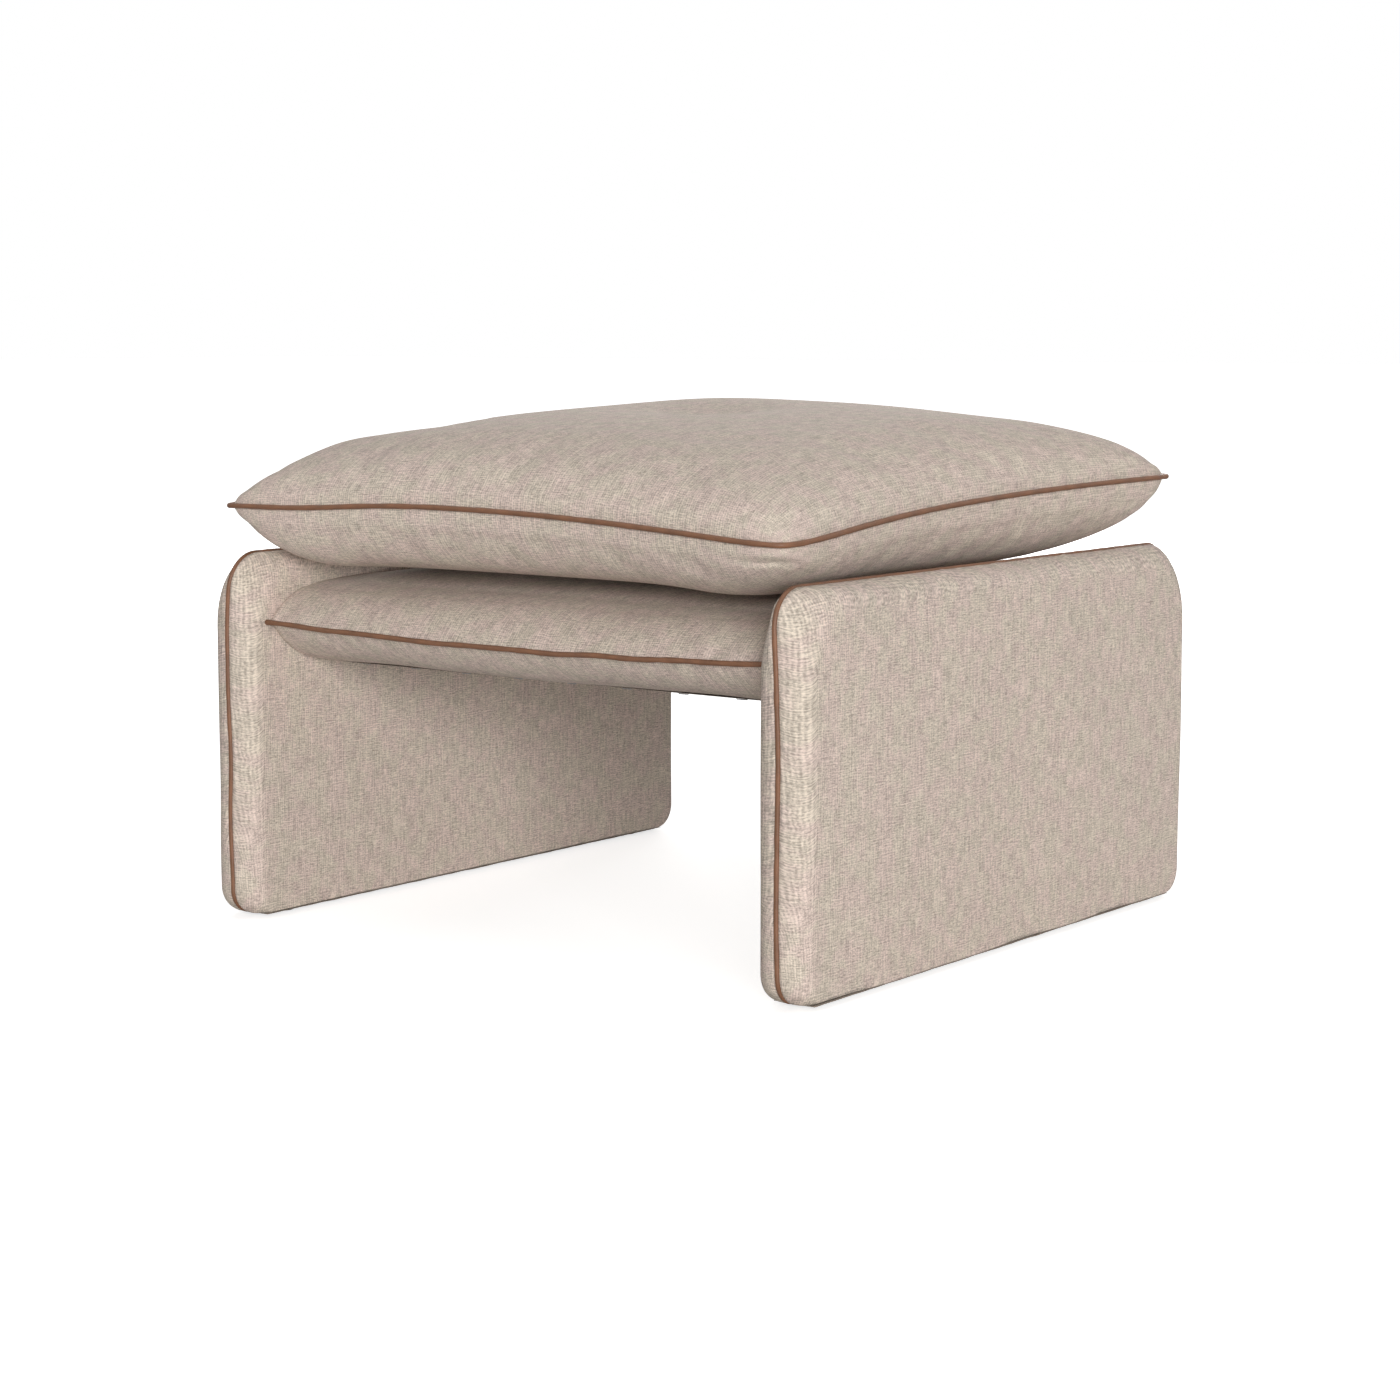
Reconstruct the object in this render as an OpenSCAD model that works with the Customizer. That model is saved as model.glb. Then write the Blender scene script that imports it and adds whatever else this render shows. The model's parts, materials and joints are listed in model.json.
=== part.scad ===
// Ottoman: two padded side panels carry a webbed deck, and a loose knife-edge cushion lies on it.
// Origin at floor level under the middle, X across the two panels, -Y the front, Z up, millimetres.

/* [Overall] */
// Clear width between the two side panels
inner_w = 546; // [480:2:620]
// Depth of a side panel from its front seam to its back seam
panel_d = 622; // [560:2:700]
// Height of a side panel from its underside to its top seam
panel_h = 324; // [290:1:380]
// Gap left between pieces that lie against each other
fit_gap = 0.3; // [0.3:0.05:0.4]

/* [Side panels] */
// Thickness of a side panel across its flat faces
panel_t = 50; // [46:1:60]
// Corner radius of a side panel's seam at the top
top_r = 32; // [28:1:44]
// Corner radius of a panel's flat faces at the top, where the padding fades towards the seam
face_top_r = 56; // [44:1:66]
// Corner radius of a side panel at the foot
foot_r = 24; // [18:1:40]
// Width of the rounded edge between the seam and a face
edge_w = 18; // [14:1:22]
// Share of that rounding kept along the foot, where the cover is pulled tight
foot_share = 0.2; // [0.15:0.05:0.5]
// Swell of the outer face over its flat edge
face_crown = 2.5; // [0:0.5:5]
// Thickness of the board inside a side panel
board_t = 22; // [18:1:24]
// Thickness of the padding on the inner side of the board
inner_pad_t = 8.5; // [6:0.5:12]
// How far the board's edge lies inside the seam line
board_inset = 6; // [6:0.5:9]
// How far the board's foot lies above the cover's underside
board_foot = 6; // [6:0.5:9]

/* [Covers and piping] */
// Thickness of the upholstery cloth
cloth_t = 1.2; // [0.8:0.1:1.6]
// Diameter of the piping cord in every seam
piping_d = 4.5; // [3:0.5:6]
// Depth of the pinch that the stitching makes beside the piping
seam_pinch = 1.2; // [0:0.2:1.6]
// Thickness of the thin lining cloth under the panels and the deck
lining_t = 0.8; // [0.5:0.1:1]

/* [Glides] */
// Height at which the glides hold the panels off the floor
glide_h = 3; // [2.5:0.5:6]
// Diameter of a glide's head
glide_d = 22; // [16:1:28]
// Distance from a panel's front or back seam in to the middle of a glide
glide_set = 61; // [56:1:90]
// Diameter of a glide's nail
nail_d = 2.8; // [2:0.2:4]
// Length of nail inside the board
nail_l = 18; // [12:1:26]

/* [Deck shape] */
// Drop from the panel's top seam to the ends of the deck's front seam
seam_drop = 60.7; // [56:0.1:66]
// Sag of the deck's seam in the middle of its width
seam_sag = 6; // [0:0.5:10]
// Distance from the panel's front seam back to the deck's nose
nose_setback = 24; // [16:1:40]
// Rise of the deck's top over the ends of its seam
deck_rise = 34.5; // [33:0.5:40]
// Depth of the deck's underside below the ends of its seam
deck_depth = 43.3; // [41:0.1:50]
// Further swell of the deck's top in the middle
deck_crown = 11.5; // [4:0.5:16]

/* [Deck frame] */
// Thickness of the deck's rails
rail_t = 22; // [18:1:25]
// Height of the deck's rails
rail_h = 42; // [38:1:42]
// Depth of the foam roll in front of the front rail
roll_depth = 75; // [70:1:90]
// Side of a corner block
block_w = 30; // [24:1:36]
// Width of a webbing strap
strap_w = 50; // [40:1:56]
// Thickness of a webbing strap
strap_t = 2; // [1.5:0.1:2.2]
// Number of straps that run from front to back
long_straps = 6; // [4:1:6]
// Number of straps that run from side to side
cross_straps = 5; // [3:1:5]

/* [Bolts] */
// Diameter of the bolts that hold the deck to the panels
bolt_d = 8; // [6:1:10]
// Distance from a panel's front or back seam in to the outer bolt
bolt_set = 191; // [188:1:211]
// Number of bolts in one side
bolt_count = 3; // [2:1:4]

/* [Cushion] */
// Distance from a panel's outer face in to the cushion's seam corner
cushion_side_set = 19; // [10:1:30]
// Distance from a panel's front seam in to the cushion's seam corner
cushion_front_set = 2; // [0:1:20]
// Height of the seam at the front left corner over the cushion's underside
corner_front_left = 57.4; // [50:0.1:66]
// Height of the seam at the front right corner over the cushion's underside
corner_front_right = 50.1; // [46:0.1:66]
// Height of the seam at the back corners over the cushion's underside
corner_back = 75.6; // [56:0.1:80]
// Rise of the front and back seams in the middle of their length
front_arch = 10; // [4:0.5:14]
// Rise of the side seams in the middle of their length
side_arch = 5; // [2:0.5:8]
// How far the sides are drawn in between the corners, as a share of the half width
draw_in = 0.047; // [0.02:0.001:0.07]
// Height of the top's full swell over the seam surface
top_swell = 54; // [44:0.5:64]
// Further crown in the middle of the top
top_crown = 9; // [4:0.5:14]
// Depth of the sewn dimple in the middle of the top
dimple = 9; // [0:0.5:14]
// Radius of that dimple
dimple_r = 60; // [45:1:80]

/* [Zip] */
// Distance from the middle of the cushion back to the zip in its underside
zip_y = 168; // [150:2:168]
// Length of the zip's teeth
zip_l = 340; // [280:5:345]
// Width of the slot in the cover that shows the zip
zip_slot = 10; // [9:0.5:12]
// Width of one zip tape
tape_w = 13; // [11:0.5:15]
// Distance from one zip tooth to the next
tooth_pitch = 5; // [4:0.5:6]

/* [Hidden] */

cloth_color = [0.75, 0.69, 0.65];
piping_color = [0.54, 0.37, 0.27];
foam_color = [0.93, 0.88, 0.7];
wood_color = [0.8, 0.66, 0.47];
lining_color = [0.16, 0.16, 0.17];
strap_color = [0.32, 0.3, 0.28];
steel_color = [0.7, 0.71, 0.73];
ticking_color = [0.95, 0.94, 0.91];
tape_color = [0.7, 0.64, 0.58];
glide_color = [0.22, 0.2, 0.19];

piping_r = piping_d / 2;
// Half the slot in each seam where the piping lies
seam_half = piping_r + 0.15;
// Layer that a piece under the cloth keeps clear
under_cloth = cloth_t + fit_gap;
half_t = panel_t / 2;
panel_x = inner_w / 2 + half_t;
board_in = inner_pad_t + under_cloth;
board_x0 = inner_w / 2 + board_in;
board_x1 = board_x0 + board_t;
// The board's faces measured from the panel's middle plane, inwards and outwards
board_s_in = half_t - board_in;
board_s_out = board_t - board_s_in;
// Share of the way from the seam's corners to the face's that the board's corners follow
board_share = (max(board_s_in, board_s_out) - seam_half) / (half_t - seam_half - under_cloth);
board_top_r = top_r - board_inset + board_share * (face_top_r + edge_w - top_r);
// Extra room where facetted padding goes round a true arc of the board
facet_gap = 0.5;
nut_bore_clear = 0.2;
nail_clear = 0.2;
// Gap between flat faces that rest on each other
touch_gap = 0.1;
// Swollen rings of the outer face, as shares of its outline
crown_shares = [0.65, 0.3];
// Step from the seam's slot to the padding behind it
pad_seam_gap = 0.4;
// Where the panel's cord lies inside the outline, over the foot, and how far it is tucked under
cord_set = 0.6;
cord_foot = piping_r + 0.5;
cord_tuck = 14;

seam_z = glide_h + panel_h - seam_drop;
nose_y = panel_d / 2 - nose_setback;
deck_half = inner_w / 2 - fit_gap;
// Half the slit between the two cloths that meet in a seam
seam_split = 0.15;
top_power = 11;
low_power = 9;
rail_y = nose_y - roll_depth;
deck_top = seam_z + deck_rise;

// Height of the deck's underside at a depth y, for a layer d inside the cloth
function deck_low(y, d = 0) =
    seam_z - (deck_depth - d) * (1 - pow(min(1, abs(y) / (nose_y - seam_half - d)), low_power));

rail_z = deck_low(rail_y, under_cloth) + touch_gap;
rail_top = rail_z + rail_h;
web_gap = 0.2;
web_top = rail_top + 2 * strap_t + web_gap;
// How far the straps end inside the frame's edge, and how far the outer straps lie inside its sides
strap_margin = 4;
strap_side = 10;
strap_front = 6;
// Level length of a strap past the edge of the one it crosses
strap_flat = 1;
foam_z = web_top + fit_gap;
roll_top = foam_z - fit_gap;

bolt_z = rail_z + rail_h / 2;
bolt_y = panel_d / 2 - bolt_set;
glide_y = panel_d / 2 - glide_set;
bolt_head_h = 0.65 * bolt_d;
bolt_head_w = 1.6 * bolt_d;
washer_d = 3 * bolt_d;
washer_t = 2;
nut_barrel_d = bolt_d + 2;
nut_flange_d = 2.8 * bolt_d;
nut_flange_t = 1.5;
nut_barrel_l = 9;
bolt_clear = 0.3;
cloth_hole_d = bolt_d + 3;
rail_in = deck_half - rail_t;
screw_d = 4;
screw_head_d = 8;
screw_l = block_w + 0.65 * rail_t;
screw_clear = 0.15;
screw_offset = 8;
block_step = 2;
block_y = rail_y - rail_t - block_w;
lining_inset = 4;

rest_z = deck_top + deck_crown + fit_gap + 2 * seam_split;
cushion_a = inner_w / 2 + panel_t - cushion_side_set;
cushion_b = panel_d / 2 - cushion_front_set;
swell_power = 5.36;
swell_root = 0.4;
under_power = 7.7;
under_root = 0.44;
// How far the seam's corners are sewn in from a square, and that of the one at the front right
corner_tuck = 4;
near_tuck = 9;
tuck_power = 16;
// Step in from the seam line to the cloth, which the drawn-in sides make narrower
pillow_edge = seam_half / (1 - draw_in);
grid = 14;

tape_t = 0.7;
tape_slit = 1.8;
tooth_reach = 2.2;
tooth_h = 1.8;
slider_l = 11;
slider_w = zip_slot - 1;
slider_round = 1.08 * slider_l;
plate_t = 1.2;
plate_gap = 0.3;
post_w = 1;
post_l = 4;
stop_l = 2.5;
stop_w = 1.8;
cord_w = 0.8;
tape_overlap = 0.2;
// Room round the zip in the insert
groove_clear = 0.6;
tape_l = zip_l + 2 * slider_l;

// Value between a and b at the share t
function mix(a, b, t) = a + (b - a) * t;

function unit(v) = v / norm(v);

// Points of an arc about [cy, cz]
function arc(cy, cz, r, from, to, steps) =
    [for (i = [0 : steps]) let (a = mix(from, to, i / steps)) [cy + r * cos(a), cz + r * sin(a)]];

// Outline of a side panel seen from the side, from the front foot over the top to the back foot.
// The share is 0 for the seam's corners and 1 for those of the flat face.
function outline(inset, foot, share = 0) =
    let (
        y = panel_d / 2 - inset,
        rt = top_r - inset + share * (face_top_r + edge_w - top_r),
        rf = foot_r - foot,
        zt = glide_h + panel_h - inset - rt,
        zf = glide_h + foot + rf
    )
    concat(
        arc(rf - y, zf, rf, 270, 180, 4),
        arc(rt - y, zt, rt, 180, 90, 6),
        arc(y - rt, zt, rt, 90, 0, 6),
        arc(y - rf, zf, rf, 0, -90, 4)
    );

// One ring of a panel's edge: angle 0 at the seam and 90 at the face, d layers inside the cloth
function edge_ring(angle, d, pinch = 0) =
    let (
        s = seam_half + (half_t - seam_half - d) * sin(angle),
        e = d + (edge_w - d) * (1 - cos(angle)),
        f = d + (edge_w - d) * foot_share * (1 - cos(angle))
    )
    [for (p = outline(e + pinch, f, sin(angle))) [s, p.x, p.y]];

// A ring of the swollen face, shrunk to the share t about the panel's middle
function face_ring(t, d, crown) =
    let (z = glide_h + panel_h / 2, s = half_t - d + crown * (1 - t * t))
    [for (p = edge_ring(90, d)) [s, p.y * t, z + (p.z - z) * t]];

// A flat ring at the distance s from the middle plane
function flat_ring(s, inset, foot, share = 0) = [for (p = outline(inset, foot, share)) [s, p.x, p.y]];

// Solid skin through rings that run clockwise seen from the last one, closed flat at both ends
module loft(rings) {
    n = len(rings[0]);
    last = (len(rings) - 1) * n;
    points = [for (ring = rings) each ring];
    sides = [
        for (i = [0 : len(rings) - 2], j = [0 : n - 1])
            let (a = i * n + j, b = i * n + (j + 1) % n)
            each [[a, b, a + n], [b, b + n, a + n]]
    ];
    start = [for (j = [n - 1 : -1 : 0]) j];
    finish = [for (j = [0 : n - 1]) last + j];
    polyhedron(points, concat([start], sides, [finish]), convexity = 8);
}

// Closed solid between an upper and a lower grid of points, rows running to +Y and columns to +X
module slab(upper, lower) {
    rows = len(upper);
    w = len(upper[0]);
    low = rows * w;
    points = concat([for (row = upper) each row], [for (row = lower) each row]);
    faces = [
        for (i = [0 : rows - 2], j = [0 : w - 2])
            let (a = i * w + j, b = a + 1, c = a + w, d = c + 1)
            each [[a, c, b], [b, c, d], [low + a, low + b, low + c], [low + b, low + d, low + c]]
    ];
    edge = concat(
        [for (j = [0 : w - 2]) j],
        [for (i = [0 : rows - 2]) i * w + w - 1],
        [for (j = [w - 1 : -1 : 1]) low - w + j],
        [for (i = [rows - 1 : -1 : 1]) i * w]
    );
    rim = [
        for (k = [0 : len(edge) - 1])
            let (a = edge[k], b = edge[(k + 1) % len(edge)])
            each [[a, b, low + a], [b, low + b, low + a]]
    ];
    polyhedron(points, concat(faces, rim), convexity = 8);
}

// Round cord along a path, with its rings square to the way it runs
module tube(path, r, up, closed = false, sides = 8) {
    n = len(path);
    function before(i) = closed ? path[(i + n - 1) % n] : path[max(0, i - 1)];
    function after(i) = closed ? path[(i + 1) % n] : path[min(n - 1, i + 1)];
    rings = [
        for (i = [0 : n - 1])
            let (
                along = unit(after(i) - before(i)),
                across = unit(cross(along, up)),
                rise = cross(across, along)
            )
            [
                for (k = [0 : sides - 1])
                    let (a = 360 * k / sides)
                    path[i] + r * (across * cos(a) + rise * sin(a))
            ]
    ];
    if (closed) {
        points = [for (ring = rings) each ring];
        faces = [
            for (i = [0 : n - 1], j = [0 : sides - 1])
                let (a = i * sides, b = (i + 1) % n * sides, k = (j + 1) % sides)
                each [[a + j, a + k, b + j], [a + k, b + k, b + j]]
        ];
        polyhedron(points, faces, convexity = 8);
    } else {
        loft(rings);
    }
}

// Places a piece drawn about the middle plane of the right panel
module right_side() {
    translate([panel_x, 0, 0]) children();
}

module left_side() {
    mirror([1, 0, 0]) right_side() children();
}

// Rows of bolt places along the depth
module at_bolts() {
    for (i = [0 : bolt_count - 1])
        translate([0, mix(-bolt_y, bolt_y, i / (bolt_count - 1)), bolt_z]) children();
}

// A round bar along X from x0 to x1
module x_bar(x0, x1, d, sides = 24) {
    translate([x0, 0, 0]) rotate([0, 90, 0]) cylinder(d = d, h = x1 - x0, $fn = sides);
}

// Side panels

// Board shape, a rectangle with its corners rounded by true arcs
module board_profile() {
    y = panel_d / 2 - board_inset;
    rt = board_top_r;
    rf = foot_r - board_foot;
    zt = glide_h + panel_h - board_inset;
    zf = glide_h + board_foot;
    union() {
        translate([-y, zf + rf]) square([2 * y, zt - zf - rf - rt]);
        translate([rt - y, zf + rf]) square([2 * (y - rt), zt - zf - rf]);
        translate([rf - y, zf]) square([2 * (y - rf), zt - zf - rt]);
        for (side = [-1, 1]) {
            translate([side * (y - rt), zt - rt]) circle(r = rt, $fn = 64);
            translate([side * (y - rf), zf + rf]) circle(r = rf, $fn = 64);
        }
    }
}

module board() {
    color(wood_color) difference() {
        translate([board_x0 - panel_x, 0, 0]) rotate([90, 0, 90]) linear_extrude(board_t) board_profile();
        at_bolts() x_bar(board_x0 - panel_x - 1, board_x1 - panel_x + 1, nut_barrel_d + bolt_clear);
        for (side = [-1, 1])
            translate([0, side * glide_y, 0])
                cylinder(d = nail_d + nail_clear, h = glide_h + board_foot + nail_l, $fn = 24);
    }
}

// Padding tray round one face of the board, with a lip over the board's edge
module pad(board_s, crown) {
    lip_inset = board_inset - fit_gap - facet_gap;
    lip_foot = board_foot - fit_gap - facet_gap;
    rings = concat(
        [flat_ring(board_s + touch_gap, lip_inset, lip_foot, board_share)],
        [flat_ring(seam_half + pad_seam_gap, lip_inset, lip_foot, board_share)],
        [flat_ring(seam_half + pad_seam_gap, under_cloth + seam_pinch, under_cloth)],
        [for (angle = [30, 60, 90]) edge_ring(angle, under_cloth)],
        crown > 0 ? [for (t = crown_shares) face_ring(t, under_cloth, crown)] : []
    );
    loft(rings);
}

module inner_pad() {
    color(foam_color) mirror([1, 0, 0]) difference() {
        pad(board_s_in, 0);
        at_bolts() x_bar(0, panel_t, cloth_hole_d, 12);
    }
}

module outer_pad() {
    color(foam_color) difference() {
        pad(board_s_out, face_crown);
        at_bolts() x_bar(0, board_s_out + nut_flange_t + 1, nut_flange_d + 2, 12);
    }
}

// Half of a panel's cover, from the seam round the edge and over the face
module half_cover(crown) {
    shares = crown > 0 ? crown_shares : [];
    inner = concat(
        [edge_ring(0, cloth_t, seam_pinch)],
        [for (angle = [30, 60, 90]) edge_ring(angle, cloth_t)],
        [for (t = shares) face_ring(t, cloth_t, crown)]
    );
    outer = concat(
        [edge_ring(0, 0, seam_pinch)],
        [for (angle = [18, 36, 54, 72, 90]) edge_ring(angle, 0)],
        [for (t = shares) face_ring(t, 0, crown)]
    );
    loft(concat([for (i = [len(inner) - 1 : -1 : 0]) inner[i]], outer));
}

module inner_cover() {
    color(cloth_color) mirror([1, 0, 0]) difference() {
        half_cover(0);
        at_bolts() x_bar(0, panel_t, cloth_hole_d, 12);
    }
}

module outer_cover() {
    color(cloth_color) half_cover(face_crown);
}

// Cord in the panel's seam, tucked under the foot at both ends
module panel_piping() {
    round_part = outline(cord_set, cord_foot);
    front = round_part[0];
    back = round_part[len(round_part) - 1];
    path = concat(
        [[0, front.x + cord_tuck, front.y]],
        [for (p = round_part) [0, p.x, p.y]],
        [[0, back.x - cord_tuck, back.y]]
    );
    color(piping_color) tube(path, piping_r, [1, 0, 0]);
}

// Lining strip stapled over the open foot of the cover
module foot_lining() {
    w = panel_t - 2 * edge_w * foot_share - lining_inset;
    l = panel_d - 2 * foot_r;
    color(lining_color) translate([0, 0, glide_h - lining_t - touch_gap]) difference() {
        translate([-w / 2, -l / 2, 0]) cube([w, l, lining_t]);
        for (side = [-1, 1])
            translate([0, side * glide_y, -1]) cylinder(d = nail_d + 1, h = 4, $fn = 12);
    }
}

module glides() {
    head_h = glide_h - lining_t - 2 * touch_gap;
    color(glide_color) for (side = [-1, 1])
        translate([0, side * glide_y, 0]) union() {
            cylinder(d = glide_d, h = head_h, $fn = 32);
            cylinder(d = nail_d, h = glide_h + board_foot + nail_l - 1, $fn = 24);
        }
}

// Fasteners

module tee_nuts() {
    color(steel_color) for (side = [0, 1]) mirror([side, 0, 0]) at_bolts() difference() {
        union() {
            x_bar(board_x1 - nut_barrel_l, board_x1 + touch_gap, nut_barrel_d);
            x_bar(board_x1 + touch_gap, board_x1 + touch_gap + nut_flange_t, nut_flange_d, 32);
        }
        x_bar(board_x1 - nut_barrel_l - 1, board_x1 + nut_flange_t + 1, bolt_d + nut_bore_clear);
    }
}

module deck_bolts() {
    head_x = rail_in - washer_t - touch_gap;
    color(steel_color) for (side = [0, 1]) mirror([side, 0, 0]) at_bolts() union() {
        x_bar(head_x - bolt_head_h, head_x, bolt_head_w / cos(30), 6);
        x_bar(head_x - 1, board_x1 + nut_flange_t, bolt_d);
    }
}

module deck_washers() {
    color(steel_color) for (side = [0, 1]) mirror([side, 0, 0]) at_bolts() difference() {
        x_bar(rail_in - washer_t - touch_gap / 2, rail_in - touch_gap / 2, washer_d, 32);
        x_bar(rail_in - washer_t - 1, rail_in + 1, bolt_d + 2 * bolt_clear);
    }
}

// Places a screw along X through a corner block and one along Y, in all four corners
module at_corners() {
    for (mx = [0, 1], my = [0, 1]) mirror([mx, 0, 0]) mirror([0, my, 0]) children();
}

module at_screws() {
    at_corners() {
        translate([rail_in - block_w, block_y + block_w / 2, bolt_z + screw_offset])
            rotate([0, 90, 0]) children();
        translate([rail_in - block_w / 2, block_y, bolt_z - screw_offset])
            rotate([-90, 0, 0]) children();
    }
}

// Room for a countersunk screw, or the screw itself, from its head's face at the origin along Z
module screw(grow) {
    rotate_extrude($fn = 16) polygon([
        [0, 0],
        [screw_head_d / 2 + grow, 0],
        [screw_d / 2 + grow, (screw_head_d - screw_d) / 2],
        [screw_d / 2 + grow, screw_l - screw_d],
        [0, screw_l]
    ]);
}

module corner_screws() {
    color(steel_color) at_screws() screw(0);
}

module screw_holes() {
    at_screws() translate([0, 0, -0.01]) screw(screw_clear);
    at_screws() cylinder(d = screw_d + 2 * screw_clear, h = screw_l + 1, $fn = 16);
}

// Deck frame

module end_rail() {
    color(wood_color) difference() {
        translate([rail_in, -rail_y, rail_z]) cube([rail_t, 2 * rail_y, rail_h]);
        at_bolts() x_bar(rail_in - 1, deck_half + 1, bolt_d + 2 * bolt_clear);
        screw_holes();
    }
}

module cross_rail() {
    color(wood_color) difference() {
        translate([-rail_in, -rail_y, rail_z]) cube([2 * rail_in, rail_t, rail_h]);
        screw_holes();
    }
}

module corner_blocks() {
    color(wood_color) difference() {
        at_corners() translate([rail_in - block_w, block_y, rail_z + block_step])
            cube([block_w, block_w, rail_h - 2 * block_step]);
        screw_holes();
    }
}

// Profile of one strap that goes over and under the straps it crosses
module strap_profile(half_l, count, pitch, first) {
    places = [for (i = [0 : count - 1]) (i - (count - 1) / 2) * pitch];
    lift = strap_t + web_gap;
    flat_half = strap_w / 2 + strap_flat;
    centre = concat(
        [[-half_l, 0]],
        [
            for (i = [0 : count - 1])
                let (z = (i + first) % 2 == 0 ? lift : 0)
                each [[places[i] - flat_half, z], [places[i] + flat_half, z]]
        ],
        [[half_l, 0]]
    );
    polygon(concat(centre, [for (i = [len(centre) - 1 : -1 : 0]) centre[i] + [0, strap_t]]));
}

long_pitch = 2 * (rail_in - strap_w / 2 - strap_side) / (long_straps - 1);
cross_pitch = 2 * (rail_y - rail_t - strap_w / 2 - strap_front) / (cross_straps - 1);

module long_webbing() {
    color(strap_color) for (i = [0 : long_straps - 1])
        translate([(i - (long_straps - 1) / 2) * long_pitch - strap_w / 2, 0, rail_top])
            rotate([90, 0, 90]) linear_extrude(strap_w)
                strap_profile(rail_y - strap_margin, cross_straps, cross_pitch, i % 2);
}

module cross_webbing() {
    color(strap_color) for (i = [0 : cross_straps - 1])
        translate([0, (i - (cross_straps - 1) / 2) * cross_pitch + strap_w / 2, rail_top])
            rotate([90, 0, 0]) linear_extrude(strap_w)
                strap_profile(deck_half - strap_margin, long_straps, long_pitch, (i + 1) % 2);
}

// Deck upholstery

deck_stations = [for (i = [-4 : 4]) deck_half * sin(90 * i / 4)];
// Steps of the deck's top from its middle to the nose, and those of them that the top foam fills
nose_steps = 7;
foam_steps = 5;
nose_shares = [for (i = [-nose_steps : nose_steps]) sin(90 * i / nose_steps)];
// Steps of the underside from the rail to the nose
under_steps = 8;

function nose_z(x) = seam_z - seam_sag * (1 - pow(x / deck_half, 2));

// Height of the deck's top in the plane x, at the depth y, for a layer d inside the cloth
function deck_up(x, y, d = 0) =
    let (
        end = nose_y - seam_half - d,
        swell = deck_crown * (1 - pow(x / deck_half, 4)) * max(0, 1 - pow(y / rail_y, 4)),
        full = deck_top + swell - d - nose_z(x)
    )
    nose_z(x) + full * (1 - pow(min(1, abs(y) / end), top_power));

// Height of the underside in the plane x, which follows the seam's sag at the nose
function deck_under(x, y, d = 0) =
    let (r = pow(min(1, abs(y) / (nose_y - seam_half - d)), low_power))
    deck_low(y, d) + (nose_z(x) - seam_z) * r;

// Grid of the deck's top for a layer d inside the cloth
function deck_top_grid(d) = [
    for (s = nose_shares)
        let (y = s * (nose_y - seam_half - d))
        [for (x = deck_stations) [x, y, deck_up(x, y, d) + seam_split]]
];

module deck_cover() {
    color(cloth_color) slab(deck_top_grid(0), deck_top_grid(cloth_t));
}

// Places across the depth where the deck's top foam meets the foam rolls
foam_shares = [for (i = [-foam_steps : foam_steps]) sin(90 * i / nose_steps)];
inner_end = nose_y - seam_half - under_cloth;
foam_end = inner_end * foam_shares[2 * foam_steps];

// Foam over the webbing, up to the deck's crown
module deck_foam() {
    rings = [
        for (x = deck_stations) concat(
            [for (s = foam_shares) [x, s * inner_end, deck_up(x, s * inner_end, under_cloth)]],
            [[x, foam_end, foam_z], [x, -foam_end, foam_z]]
        )
    ];
    color(foam_color) loft(rings);
}

// Foam roll that rounds the deck's nose in front of the rail
module roll() {
    back = rail_y + fit_gap;
    joint_y = foam_end + fit_gap;
    low_steps = concat([back], [for (i = [2 : under_steps]) under_depth(i, under_cloth)]);
    top_steps = [for (i = [nose_steps - 1 : -1 : foam_steps + 1]) inner_end * sin(90 * i / nose_steps)];
    rings = [
        for (x = deck_stations) concat(
            [for (y = concat(top_steps, [joint_y])) [x, -y, deck_up(x, y, under_cloth)]],
            [[x, -joint_y, roll_top], [x, -back, roll_top]],
            [for (y = low_steps) [x, -y, deck_under(x, y, under_cloth)]]
        )
    ];
    color(foam_color) loft(rings);
}

// Depth of a step of the underside from the rail's back face to the nose, for a layer d inside the cloth
function under_depth(i, d) = mix(rail_y - rail_t, nose_y - seam_half - d, sin(90 * i / under_steps));

// Grid of the underside of the nose for a layer d inside the cloth
function under_cover_grid(d) = [
    for (i = [under_steps : -1 : 0])
        let (y = under_depth(i, d))
        [for (x = deck_stations) [x, -y, deck_under(x, y, d) - seam_split]]
];

// Cloth from the front seam round the underside of the nose and under the rail
module under_cover() {
    color(cloth_color) slab(under_cover_grid(cloth_t), under_cover_grid(0));
}

module deck_piping() {
    steps = 6;
    half = deck_half - fit_gap;
    path = [for (i = [-steps : steps]) let (x = half * i / steps) [x, -nose_y, nose_z(x)]];
    color(piping_color) tube(path, piping_r, [0, 0, 1]);
}

// Thin lining stapled under the rails to close the deck from below
module deck_lining() {
    w = deck_half - lining_inset;
    d = rail_y - rail_t / 2;
    z = deck_low(rail_y - rail_t) - seam_split - fit_gap;
    color(lining_color) translate([-w, -d, z - lining_t]) cube([2 * w, 2 * d, lining_t]);
}

// Cushion

grid_shares = [for (i = [0 : grid]) sin(90 * (2 * i / grid - 1))];

// Fullness of the pillow over the share square, 0 at the seam and 1 in the middle
function fill(u, v, power, root) =
    pow(max(0, (1 - pow(abs(u), power)) * (1 - pow(abs(v), power))), root);

// Place of a point of the share square in plan, a distance d inside the seam
function plan(u, v, d) =
    let (
        near = (1 + u) * (1 - v) / 4,
        tuck = mix(corner_tuck, near_tuck, near) * pow(abs(u * v), tuck_power)
    )
    [
        (cushion_a - d) * u * (1 - draw_in * (1 - v * v)) - sign(u) * tuck,
        (cushion_b - d) * v * (1 - draw_in * (1 - u * u)) - sign(v) * tuck
    ];

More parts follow.
